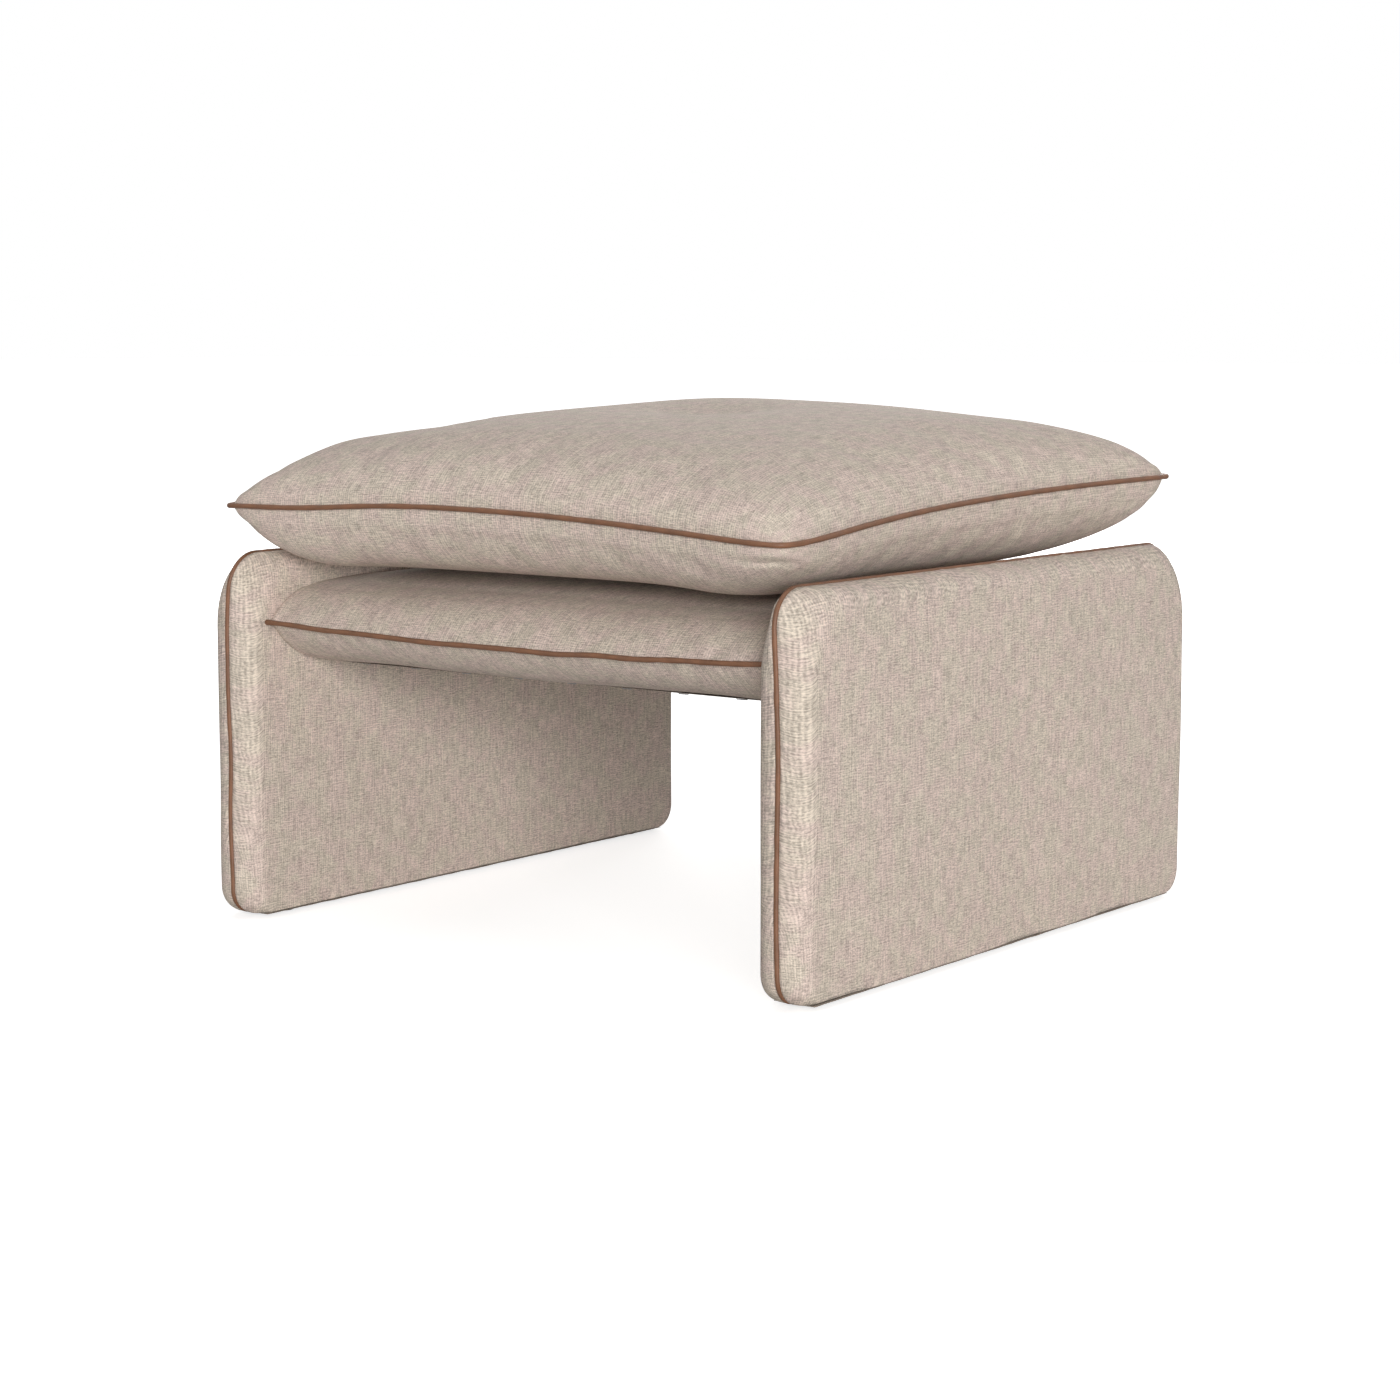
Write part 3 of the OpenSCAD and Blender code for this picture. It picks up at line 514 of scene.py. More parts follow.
def wood(colours):
    """Pale sawn wood: long streaks along X, stretched rings and fine pores."""
    plank = Finish("sawn_wood", 0.65)
    rings = plank.grain(3.0, 60.0, 3.0)
    pores = plank.grain(30.0, 900.0, rough=0.5)
    plank.tones(plank.ramp(rings * 0.8 + pores * 0.3, 0.35, 0.75), colours.wood, 0.78, 1.06)
    plank.bump(pores, 0.0003, 0.3)
    return plank.material


def foam(colours):
    """Open-cell foam: small round pits over a faintly mottled cream."""
    block = Finish("foam", 0.95)
    place = block.object_place()
    cells = block.node("ShaderNodeTexVoronoi", values={"Vector": place, "Scale": 700.0})
    block.tones(block.noise(place, 18.0), colours.foam, 0.9, 1.03)
    block.bump(cells, 0.0006, 0.5)
    return block.material


def woven(name, colour, across, along, dark):
    """A plain weave of threads that run both ways through the object, across and along it."""
    band = Finish(name, 0.85)
    threads = band.grain(across, along)
    crossing = band.grain(along, across)
    band.tones(band.ramp(threads * 0.5 + crossing * 0.5, 0.36, 0.66), colour, dark, 1.1)
    band.bump(threads + crossing, 0.0004, 0.5)
    return band.material


def steel(name, colour, rough):
    """Drawn steel with a fine uneven polish."""
    metal = Finish(name, rough, Metallic=1.0)
    marks = metal.noise(metal.object_place(), 400.0, 3.0, 0.6)
    metal.tones(marks, colour, 0.85, 1.05)
    metal.put("Roughness", rough - 0.08 + marks * 0.16)
    return metal.material


def plastic(name, colour, rough):
    """Moulded plastic with a faint texture from the mould."""
    part = Finish(name, rough)
    place = part.object_place()
    speckle = part.noise(place, 1500.0)
    part.tones(part.noise(place, 90.0), colour, 0.92, 1.06)
    part.put("Roughness", rough - 0.06 + speckle * 0.12)
    part.bump(speckle, 0.0002, 0.3)
    return part.material


def finishes_of(context):
    """Every finish by its slot, made once."""
    if not FINISHES:
        colours = context.scene.ottoman_colours
        FINISHES.update(
            upholstery=upholstery(colours),
            piping=cord_leather(colours),
            foam=foam(colours),
            wood=wood(colours),
            ticking=woven("ticking", colours.ticking, 2500.0, 400.0, 0.9),
            webbing=woven("webbing", colours.webbing, 900.0, 200.0, 0.6),
            lining=woven("lining", colours.lining, 1500.0, 1500.0, 0.6),
            zip_tape=woven("zip_tape", colours.zip_tape, 2500.0, 500.0, 0.8),
            zip_teeth=steel("zip_teeth", colours.steel, 0.3),
            zip_metal=steel("zip_slider_metal", colours.steel, 0.28),
            steel=steel("bright_steel", colours.steel, 0.35),
            glide=plastic("glide_plastic", colours.glide, 0.45),
        )
    return FINISHES


def length_of(name, default, description):
    """A length that a user may change."""
    return bpy.props.FloatProperty(name=name, description=description, default=default, min=0.0,
                                   subtype="DISTANCE", unit="LENGTH", precision=4)


def share_of(name, default, description):
    """A share from 0 to 1 that a user may change."""
    return bpy.props.FloatProperty(name=name, description=description, default=default, min=0.0,
                                   max=1.0, subtype="FACTOR")


def colour_of(name, default, description):
    """A colour that a user may change, written as the eye sees it."""
    return bpy.props.FloatVectorProperty(name=name, description=description, default=default, size=3,
                                         min=0.0, max=1.0, subtype="COLOR_GAMMA")


class OttomanSizes(bpy.types.PropertyGroup):
    """Measures of the upholstered forms."""

    top_radius: length_of("Top corner", 0.032, "Corner radius of a side panel's seam at the top")
    face_radius: length_of("Face corner", 0.056, "Corner radius of a panel's flat faces at the top")
    foot_radius: length_of("Foot corner", 0.024, "Corner radius of a side panel at the foot")
    edge: length_of("Edge", 0.018, "Width of the rounded edge between a panel's seam and its face")
    foot_share: share_of("Foot edge", 0.2, "Share of that rounding kept along the foot")
    seam_drop: length_of("Deck seam drop", 0.0607, "Drop from the panel's top to the deck's seam")
    seam_sag: length_of("Deck seam sag", 0.006, "Sag of the deck's seam in the middle")
    deck_rise: length_of("Deck rise", 0.0345, "Rise of the deck's top over its seam")
    deck_depth: length_of("Deck depth", 0.0433, "Depth of the deck's underside below its seam")
    deck_crown: length_of("Deck crown", 0.0115, "Further swell of the deck's top in the middle")
    cushion_half_width: length_of("Cushion half width", 0.304, "From the middle to a side corner")
    cushion_half_depth: length_of("Cushion half depth", 0.309, "From the middle to a front corner")
    front_left: length_of("Front left corner", 0.0574, "Height of the seam's front left corner")
    front_right: length_of("Front right corner", 0.0501, "Height of the seam's front right corner")
    back: length_of("Back corners", 0.0756, "Height of the seam's back corners")
    front_arch: length_of("Front arch", 0.009, "Rise of the front seam in the middle of its length")
    side_arch: length_of("Side arch", 0.005, "Rise of the side seams in the middle of their length")
    right_sag: length_of("Right sag", 0.005, "Drop of the front seam towards the front right corner")
    left_sag: length_of("Left sag", 0.0036, "Dip of the front seam beside the front left corner")
    draw_in: share_of("Draw-in", 0.047, "How far the cushion's sides pull in between its corners")
    swell: length_of("Swell", 0.054, "Height of the cushion's top over its seam")
    crown: length_of("Crown", 0.009, "Further crown in the middle of the cushion")
    dimple: length_of("Dimple", 0.009, "Depth of the sewn dimple in the cushion's top")
    dimple_radius: length_of("Dimple radius", 0.060, "Radius of that dimple")


class OttomanColours(bpy.types.PropertyGroup):
    """Colours of the finishes."""

    cloth: colour_of("Cloth", (0.780, 0.722, 0.683), "Heathered upholstery cloth")
    cloth_warm: colour_of("Warm patches", (1.0, 0.985, 0.985), "Tint of the cloth's warmer patches")
    cloth_cool: colour_of("Cool patches", (0.985, 1.0, 0.975), "Tint of the cloth's cooler patches")
    cord: colour_of("Cord", (0.470, 0.325, 0.235), "Leather-like cord cover")
    wood: colour_of("Wood", (0.80, 0.67, 0.49), "Boards, rails and blocks")
    foam: colour_of("Foam", (0.93, 0.88, 0.72), "Padding")
    ticking: colour_of("Ticking", (0.93, 0.92, 0.89), "Cover of the cushion's filling")
    webbing: colour_of("Webbing", (0.33, 0.30, 0.27), "Woven straps under the deck")
    lining: colour_of("Lining", (0.66, 0.61, 0.56), "Undyed thin lining under the deck and the panels")
    steel: colour_of("Steel", (0.72, 0.73, 0.75), "Bolts, nuts, washers, screws and staples")
    zip_tape: colour_of("Zip tape", (0.70, 0.64, 0.58), "Woven tapes of the zip")
    glide: colour_of("Glide", (0.20, 0.19, 0.18), "Nailed glides under the panels")


def seam_wobble(place, side):
    """How far a panel's seam strays along X: small waves, and a lean inwards near the top."""
    near_top = ease((place[..., -1] - PANEL_TOP + SEAM_LEAN_BELOW) / SEAM_LEAN_BELOW)
    return ripples(place, length=0.11, seed=21 + side, height=0.0007) - side * SEAM_LEAN * near_top


def panel_loops(sizes, inset, foot, share=0.0, steps=PANEL_STEPS):
    """Closed loops round a side panel, one for each inset: arcs at the corners and lines between them.

    A loop starts at the front foot, goes up the front, over the top, down the back and along the foot.
    share is 0 for the corners of the seam and 1 for those of the flat face.
    """
    inset, foot, share = (np.atleast_1d(value)[:, None] for value in (inset, foot, share))
    y = PANEL_Y - inset
    grown = sizes.face_radius + sizes.edge - sizes.top_radius
    top, low = sizes.top_radius - inset + share * grown, sizes.foot_radius - foot
    high_z, low_z = PANEL_TOP - inset - top, PANEL_FOOT + foot + low
    centres = [(low - y, low_z, low, 270, 180), (top - y, high_z, top, 180, 90),
               (y - top, high_z, top, 90, 0), (y - low, low_z, low, 0, -90)]
    arcs = []
    for middle, height, radius, start, end in centres:
        turn = np.radians(np.linspace(start, end, steps[0]))
        arcs.append(np.stack([middle + radius * np.cos(turn), height + radius * np.sin(turn)], -1))
    loops = []
    for k in range(4):
        t = np.linspace(0, 1, steps[1 + k % 2] + 2)[1:-1][None, :, None]
        loops += [arcs[k], mix(arcs[k][:, -1:], arcs[(k + 1) % 4][:, :1], t)]
    return np.concatenate(loops, axis=1)


def shrunk(loop, count):
    """A panel's loop drawn in step by step to the middle of its face, and the share left at each step."""
    middle = np.array([0.0, (PANEL_TOP + PANEL_FOOT) / 2])
    shares = np.linspace(1, 0, count)[1:]
    return middle + (loop - middle) * shares[:, None, None], shares


def face_out(side, face, inside, shares):
    """How far out a panel's face lies: flat on its inner side, crowned as 1 - share^2 on its outer side."""
    crown = CROWN if face * side > 0 else 0.0
    return PANEL_HALF_T - inside + crown * (1 - shares ** 2)


def beside_seam(side, face, out, yz):
    """Points from their distance out of the seam's plane and their places in that plane."""
    points = np.empty(yz.shape[:2] + (3,))
    points[..., 0] = SEAM_X * side + face * out[:, None]
    points[..., 1:] = yz
    return points


def panel_half(sizes, side, face):
    """Half of a side panel's cover: rings from the seam round the edge to the middle of its face.

    The edge is a quarter of an ellipse between the seam and the face, and the face swells as 1 - t^2.
    side is -1 for the left panel and face is the way along X that the half looks. The places of the
    rings' points on the flat cloth come with them.
    """
    turn = np.radians(np.linspace(0, 90, 15))
    tuck_in, tuck_out = np.array([[0.0046, 0.0026, 0.0011], [0.0, 0.0010, 0.0018]])
    inset = np.concatenate([tuck_in, sizes.edge * (1 - np.cos(turn))])
    foot = np.concatenate([tuck_in, sizes.edge * sizes.foot_share * (1 - np.cos(turn))])
    depth = PANEL_HALF_T - SEAM_HALF
    share = np.concatenate([np.zeros(len(tuck_in)), np.sin(turn)])
    loops = panel_loops(sizes, inset, foot, share)
    faces, shares = shrunk(loops[-1], 40)
    out = np.concatenate([tuck_out, SEAM_HALF + depth * np.sin(turn), face_out(side, face, 0.0, shares)])
    seam, rim, yz = loops[len(tuck_in)], loops[-1], np.concatenate([loops, faces])
    points = beside_seam(side, face, out, yz)

    # The flat cloth: the face as it lies, and the edge carried on outwards by its own length where it is
    # straight, but as seen from the side where it goes round a corner
    step = np.linalg.norm(np.diff(np.stack([inset, out[: len(inset)]], -1), axis=0), axis=1)
    beyond = np.concatenate([np.cumsum(step[::-1])[::-1], [0]])[:, None]
    lean = loops[0] - rim
    lean /= np.linalg.norm(lean, axis=-1, keepdims=True)
    seen = np.linalg.norm(loops - rim, axis=-1)
    straight = ease((np.abs(lean).max(-1) - 0.72) / 0.27)
    cloth = yz.copy()
    cloth[: len(inset)] = rim + lean * mix(seen, np.maximum(beyond, seen), straight)[..., None]
    cloth[..., 0] *= face

    # Small gathers where the seam draws the cloth in, and a slow unevenness over the face
    normal = outward(points, closed_cols=True, flip=face > 0)
    normal[-1] = (face, 0, 0)
    from_seam = np.linalg.norm(yz - seam, axis=-1) + np.abs(out - SEAM_HALF)[:, None]
    sewn = (np.arange(len(yz)) > len(tuck_in))[:, None]
    ring = lengths_along(seam)[None, :, None] * np.ones((len(yz), 1, 1))
    place = np.concatenate([ring, from_seam[..., None] * 0.25], -1)
    gathers = ripples(place, length=0.020, seed=5 + side + 3 * face, height=0.00045)
    slow = ripples(points, length=0.16, seed=11 + side, height=0.0007 if face * side > 0 else 0.00015)
    wave = gathers * bell(from_seam, 0.006, 0.009) + slow * ease((from_seam - 0.004) / 0.03)
    points += normal * (wave * sewn)[..., None]
    points[..., 0] += seam_wobble(np.broadcast_to(seam, yz.shape), side) * bell(from_seam, 0, 0.018)
    points[..., 2] = np.maximum(points[..., 2], PANEL_FOOT)
    return points, cloth


def panel_pad(sizes, side, face, board):
    """The foam on one side of a panel's board: a tray with a lip round the board's edge.

    Its outer side follows the cover, and its inner side is flat where it lies on the board.
    """
    turn = np.radians([15, 30, 45, 60, 75, 90])
    depth = PANEL_HALF_T - SEAM_HALF - PAD_INSIDE
    board_share = (max(BOARD_IN, BOARD_OUT) - SEAM_HALF) / depth
    lip_in, lip_out, tray_out = 0.0052, SEAM_HALF + 0.0004, board + BOARD_GAP
    rounding = (sizes.edge - PAD_INSIDE) * (1 - np.cos(turn))
    inset = np.concatenate([[lip_in, lip_in, PAD_INSIDE + 0.0012], PAD_INSIDE + rounding])
    foot = np.concatenate([[lip_in, lip_in, PAD_INSIDE], PAD_INSIDE + rounding * sizes.foot_share])
    share = np.concatenate([[board_share, board_share, 0], np.sin(turn)])
    loops = panel_loops(sizes, inset, foot, share, PAD_STEPS)
    back = shrunk(loops[0], 7)[0][::-1]
    front, shares = shrunk(loops[-1], 7)
    out = np.concatenate([np.full(len(back) + 1, tray_out), [lip_out, lip_out],
                          SEAM_HALF + depth * np.sin(turn), face_out(side, face, PAD_INSIDE, shares)])
    return beside_seam(side, face, out, np.concatenate([back, loops, front]))


def deck_seam(sizes, x):
    """Height of the deck's seams, which sag in the middle as a parabola."""
    return PANEL_TOP - sizes.seam_drop - sizes.seam_sag * (1 - (x / DECK_X) ** 2)


def deck_top(sizes, x, y, inside=0.0):
    """Height of the deck's top: it leaves the seam as 1 - r^11 of the depth and crowns in the middle."""
    end, seam = DECK_END - inside, deck_seam(sizes, x)
    swell = sizes.deck_crown * (1 - (x / DECK_X) ** 4) * np.maximum(0, 1 - (y / RAIL_Y) ** 4)
    full = PANEL_TOP - sizes.seam_drop + sizes.deck_rise + swell - inside - seam
    return seam + full * (1 - np.minimum(1, np.abs(y) / end) ** 11)


def deck_under(sizes, x, y, inside=0.0):
    """Height of the deck's underside: it leaves the seam as 1 - r^9 of the depth."""
    share = np.minimum(1, np.abs(y) / (DECK_END - inside)) ** 9
    level = PANEL_TOP - sizes.seam_drop - (sizes.deck_depth - inside) * (1 - share)
    return level + (deck_seam(sizes, x) - PANEL_TOP + sizes.seam_drop) * share


def below_rails(sizes, x, y, distance):
    """Height at a distance below the deck's underside, which is level between the rails."""
    return deck_under(sizes, x, np.maximum(np.abs(y), RAIL_IN)) - distance


def tucked_ends(points, x, normal, reach=0.005):
    """Draws the deck's ends in along a quarter circle, where the cloth goes down beside the panels."""
    q = np.clip((np.abs(x) - (DECK_X - reach)) / reach, 0, 1)
    return points - normal * (reach * (1 - np.sqrt(1 - q ** 2)))[..., None]


def nearness(u, v):
    """1 at the front right corner of the share square and 0 along the left and the back."""
    return (1 + u) * (1 - v) / 4


def cushion_plan(sizes, u, v, inside):
    """Place in plan of a point of the share square: sides drawn in as 1 - share^2, corners sewn in."""
    front_right = nearness(u, v)
    sewn_in, narrowness = mix(0.005, 0.0125, front_right), mix(16, 12, front_right)
    tuck = sewn_in * np.abs(u * v) ** narrowness
    x = (sizes.cushion_half_width - inside) * u * (1 - sizes.draw_in * (1 - v * v)) - np.sign(u) * tuck
    y = (sizes.cushion_half_depth - inside) * v * (1 - sizes.draw_in * (1 - u * u)) - np.sign(v) * tuck
    return x, y


def cushion_seam(sizes, u, v):
    """Height of the surface that the cushion's seam spans: its corners mixed, and arched between them."""
    front = mix(sizes.front_left, sizes.front_right, (1 + u) / 2)
    arch = sizes.front_arch * (1 - u * u) + sizes.side_arch * (1 - v * v)
    sag = sizes.right_sag * bell(u, 1, 0.8) + sizes.left_sag * bell(u, -0.72, 0.25)
    corner_lift = 0.0018 * nearness(u, v) * np.abs(u * v) ** 12
    return REST_Z + mix(front, sizes.back, (1 + v) / 2) + arch - sag * bell(v, -1, 0.45) + corner_lift


def fullness(u, v, power, root):
    """0 at the seam and 1 in the middle: the root of (1 - |u|^power)(1 - |v|^power)."""
    return np.maximum(0, (1 - np.abs(u) ** power) * (1 - np.abs(v) ** power)) ** root


def cushion_side(sizes, u, v, top, inside=0.0):
    """The cushion's top or underside over the share square, inside by a distance."""
    x, y = cushion_plan(sizes, u, v, SEAM_HALF / (1 - sizes.draw_in) + inside)
    seam = cushion_seam(sizes, u, v)
    full = fullness(u, v, *(TOP_FULL if top else UNDER_FULL))
    slow = settled(u, v, TOP_SETTLED if top else UNDER_SETTLED) * ease(full * 1.6)
    if top:
        swell = sizes.swell * full + sizes.crown * (1 - u * u) * (1 - v * v)
        dip = sizes.dimple * np.exp(-(x * x + y * y) / sizes.dimple_radius ** 2)
        z = seam + (swell - dip) * (1 - inside / (sizes.swell + sizes.crown - sizes.dimple))
        z += slow - pressed_crease(x, y)
    else:
        depth = (seam - REST_Z) * full - slow
        z = seam - depth * (1 - inside / (sizes.back + sizes.front_arch))
        z = np.maximum(z, REST_Z)
        y = y - corner_fold(u, v, full)
    return np.stack([x, y, z], -1)


def settled(u, v, places):
    """Sum of soft rises and dips of the height: each a bell round its own place in the share square."""
    return sum(height * np.exp(-((u - at_u) ** 2 + (v - at_v) ** 2) / reach ** 2)
               for at_u, at_v, reach, height in places)


def corner_fold(u, v, full):
    """Push of the puffed fold under the front right corner: out beside the seam and in behind it."""
    puffed, folded = 0.0022 * bell(full, 0.17, 0.07), 0.0032 * bell(full, 0.33, 0.06)
    return bell(u, 1, 0.17) * bell(v, -1, 0.10) * (puffed - folded)


def pressed_crease(x, y):
    """Depth of the shallow crease pressed into the top: a bell across it and a longer one along it."""
    turn = math.radians(CREASE_TURN)
    along = (x - CREASE_X) * math.cos(turn) + (y - CREASE_Y) * math.sin(turn)
    across = (y - CREASE_Y) * math.cos(turn) - (x - CREASE_X) * math.sin(turn)
    return CREASE_DEEP * bell(across, 0, CREASE_WIDE) * bell(along, 0, CREASE_LONG)


def share_lines(count, closeness=0.85):
    """Shares from -1 to 1, closer together towards both ends."""
    t = np.linspace(-1, 1, count)
    return mix(t, np.sin(t * math.pi / 2), closeness)


def stuffed_moves(sizes):
    """How the cloth of the stuffed cushion's top and underside moves when it is simulated.

    The cover is a closed mesh whose seam is pinned and whose cloth is cut a little large, so that
    the pressure of the filling throws it into folds along the seam.
    """
    lines = share_lines(SIM_LINES, 0.6)
    v, u = np.meshgrid(lines, lines, indexing="ij")
    sides = [cushion_side(sizes, u, v, top) for top in (True, False)]
    shape = Shape().add(sides[0]).add(sides[1], flip=True)
    points = np.concatenate(shape.points)
    kept, number = merged(points)
    mesh = bpy.data.meshes.new("stuffing")
    mesh.from_pydata(points[kept], [], number[np.concatenate(shape.cells)].tolist())
    body = bpy.data.objects.new("stuffing", mesh)
    scene = bpy.context.scene
    scene.collection.objects.link(body)
    pinned = body.vertex_groups.new(name="seam")
    rim = (np.abs(u) > 0.9999) | (np.abs(v) > 0.9999)
    both = np.concatenate([rim.reshape(-1), rim.reshape(-1)])
    pinned.add(np.unique(number[both]).tolist(), 1.0, "REPLACE")
    cloth = body.modifiers.new("cloth", "CLOTH")
    for key, value in SIM_CLOTH.items():
        setattr(cloth.settings, key, value)
    cloth.settings.effector_weights.gravity = 0
    cloth.collision_settings.use_collision = False
    cloth.point_cache.frame_start, cloth.point_cache.frame_end = 1, SIM_FRAMES
    for step in range(1, SIM_FRAMES + 1):
        scene.frame_set(step)
    shown = body.evaluated_get(bpy.context.evaluated_depsgraph_get())
    now = np.empty(len(mesh.vertices) * 3)
    shown.data.vertices.foreach_get("co", now)
    moves = (now.reshape(-1, 3) - points[kept])[number]
    scene.frame_set(1)
    bpy.data.objects.remove(body)
    far = np.linalg.norm(moves, axis=1, keepdims=True)
    moves *= np.minimum(1, MOST_MOVE / np.maximum(far, 1e-9))
    return lines, moves.reshape(2, SIM_LINES, SIM_LINES, 3)


def softened(field, times):
    """A field averaged with its neighbours again and again, its rim held."""
    for _ in range(times):
        inner = (field[:-2, 1:-1] + field[2:, 1:-1] + field[1:-1, :-2] + field[1:-1, 2:]) / 4
        field = field.copy()
        field[1:-1, 1:-1] = inner
    return field


def resampled(field, lines, rows, columns):
    """A field on one grid of shares, read off on another by linear steps along both directions."""
    def along(values, wanted, axis):
        at = np.clip(np.searchsorted(lines, wanted) - 1, 0, len(lines) - 2)
        t = (wanted - lines[at]) / (lines[at + 1] - lines[at])
        low, high = np.take(values, at, axis), np.take(values, at + 1, axis)
        shape = [1] * values.ndim
        shape[axis] = -1
        return mix(low, high, t.reshape(shape))
    return along(along(field, rows, 0), columns, 1)


class OTTOMAN_OT_stage(bpy.types.Operator):
    """Sets up the pale floor, the soft studio light and the camera"""

    bl_idname = "ottoman.stage"
    bl_label = "Stage"

    def execute(self, context):
        scene = context.scene
        scene.view_settings.view_transform = "Standard"
        self.floor()
        self.world(scene)
        for lamp in LAMPS:
            self.lamp(*lamp)
        self.camera(scene)
        return {"FINISHED"}

    def floor(self):
        """A matt floor that glows a little to the camera, more so the farther it is from the ottoman."""
        h = FLOOR_HALF
        mesh = bpy.data.meshes.new("floor")
        mesh.from_pydata([(-h, -h, 0), (h, -h, 0), (h, h, 0), (-h, h, 0)], [], [(0, 1, 2, 3)])
        paint = Finish("pale_floor", 0.9, Base_Color=FLOOR_COLOUR)
        away = paint.node("ShaderNodeVectorMath", {"operation": "LENGTH"}, (paint.object_place(),), "Value")
        levels = {0: away, 1: GLOW_FROM, 2: GLOW_TO, 3: GLOW_NEAR, 4: GLOW_FAR}
        level = paint.node("ShaderNodeMapRange", values=levels)
        seen = paint.node("ShaderNodeLightPath", out="Is Camera Ray")
        glow = paint.node("ShaderNodeEmission", values={"Strength": level * seen})
        matt = Link(paint, paint.shader.outputs[0])
        paint.shown(paint.node("ShaderNodeAddShader", values=(matt, glow)), "Material Output")
        floor = bpy.data.objects.new("floor", mesh)
        mesh.materials.append(paint.material)
        bpy.context.scene.collection.objects.link(floor)

    def world(self, scene):
        """White to the camera and to reflections, and an even soft light to everything else."""
        scene.world = bpy.data.worlds.new("studio")
        sky = NodeMaker(scene.world)
        rays = [sky.node("ShaderNodeLightPath", out=f"Is {kind} Ray")
                for kind in ("Camera", "Glossy", "Transmission")]
        clear = rays[0].calc("MAXIMUM", rays[1]).calc("MAXIMUM", rays[2])
        soft = sky.tree.nodes["Background"]
        soft.inputs["Color"].default_value, soft.inputs["Strength"].default_value = WHITE, SKY
        white = sky.node("ShaderNodeBackground", values={"Color": WHITE, "Strength": 1.0})
        mixed = sky.node("ShaderNodeMixShader", values=(clear, Link(sky, soft.outputs[0]), white))
        sky.shown(mixed, "World Output")

    def lamp(self, name, place, width, height, power):
        """A large soft lamp that looks at the middle of the ottoman."""
        light = bpy.data.lights.new(name, "AREA")
        light.shape = "RECTANGLE"
        light.size, light.size_y, light.energy = width, height, power
        lamp = bpy.data.objects.new(name, light)
        bpy.context.scene.collection.objects.link(lamp)
        aim = np.array(LAMP_AIM) - np.array(place)
        flat = math.hypot(aim[0], aim[1])
        lamp.location = place
        lamp.rotation_euler = (math.atan2(flat, -aim[2]), 0, math.atan2(-aim[0], aim[1]))

    def camera(self, scene):
        """The photograph's viewpoint: a long lens, a little above, looking at the near right corner."""
        lens = bpy.data.cameras.new("viewpoint")
        lens.sensor_width, lens.lens = FILM, LENS
        camera = bpy.data.objects.new("viewpoint", lens)
        camera.location = VIEWPOINT
        camera.rotation_euler = (math.radians(90 - VIEW_DOWN), 0, math.radians(VIEW_TURN))
        scene.collection.objects.link(camera)
        scene.camera = camera


class OTTOMAN_OT_panels(bpy.types.Operator):
    """Makes the cloth covers and the padding of the two side panels"""

    bl_idname = "ottoman.panels"
    bl_label = "Side panels"

    def execute(self, context):
        sizes, finishes = context.scene.ottoman_sizes, finishes_of(context)
        for word, side in (("left", -1), ("right", 1)):
            shape = Shape()
            for face in (-1, 1):
                shape.add(*panel_half(sizes, side, face), closed_cols=True, flip=face > 0)
            cover = shape.piece(f"{word}_panel_cover", FIXED, "upholstery", finishes,
                                [f"{word}_inner_cover", f"{word}_outer_cover"])
            for half, face, board in (("inner", -side, BOARD_IN), ("outer", side, BOARD_OUT)):
                shape = Shape().add(panel_pad(sizes, side, face, board), closed_cols=True, flip=face > 0)
                pad = shape.piece(f"{word}_{half}_foam", FIXED, "foam", finishes, [f"{word}_{half}_pad"])
            self.foot_lining(word, side, finishes)
        return {"FINISHED"}

    def foot_lining(self, word, side, finishes):
        """The strip over the open foot, level but for the slight waves of cloth pulled to its staples."""
        half_w, half_l = (FOOT_HIGH.x - FOOT_LOW.x) / 2, FOOT_HIGH.y
        x, y = even_grid(half_w, half_l, 13, 241)
        wave = ripples(np.stack([x, y], -1), length=0.03, seed=71 + side, height=0.00012)
        sunk = 0.00015
        points = np.stack([side * (SEAM_X + x), y, FOOT_HIGH.z - sunk + wave], -1)
        strip = Shape().add(points, laid_flat(points), flip=side > 0).piece(
            f"{word}_foot_cloth", FIXED, "lining", finishes, [f"{word}_foot_lining"])
        thicken(strip, LINING_T)


class OTTOMAN_OT_panel_cords(bpy.types.Operator):
    """Makes the cord in the seam round each side panel, with its ends curled under the foot"""

    bl_idname = "ottoman.panel_cords"
    bl_label = "Panel cords"

    def execute(self, context):
        sizes, finishes = context.scene.ottoman_sizes, finishes_of(context)
        above_foot, curl = CORD_R + 0.0005, 0.014
        open_loop = panel_loops(sizes, CORD_SET, above_foot)[0][:-PANEL_STEPS[2]]
        tuck = np.linspace(curl, 0, 6)[:-1, None] * [1, 0]
        path = np.concatenate([open_loop[0] + tuck, open_loop, open_loop[-1] - tuck[::-1]])
        for word, side in (("left", -1), ("right", 1)):
            x = SEAM_X * side + seam_wobble(path, side)
            place = np.concatenate([x[:, None], path], 1)
            cord(f"{word}_cord", FIXED, place, (1, 0, 0), finishes, [f"{word}_piping"], seed=31 + side)
        return {"FINISHED"}


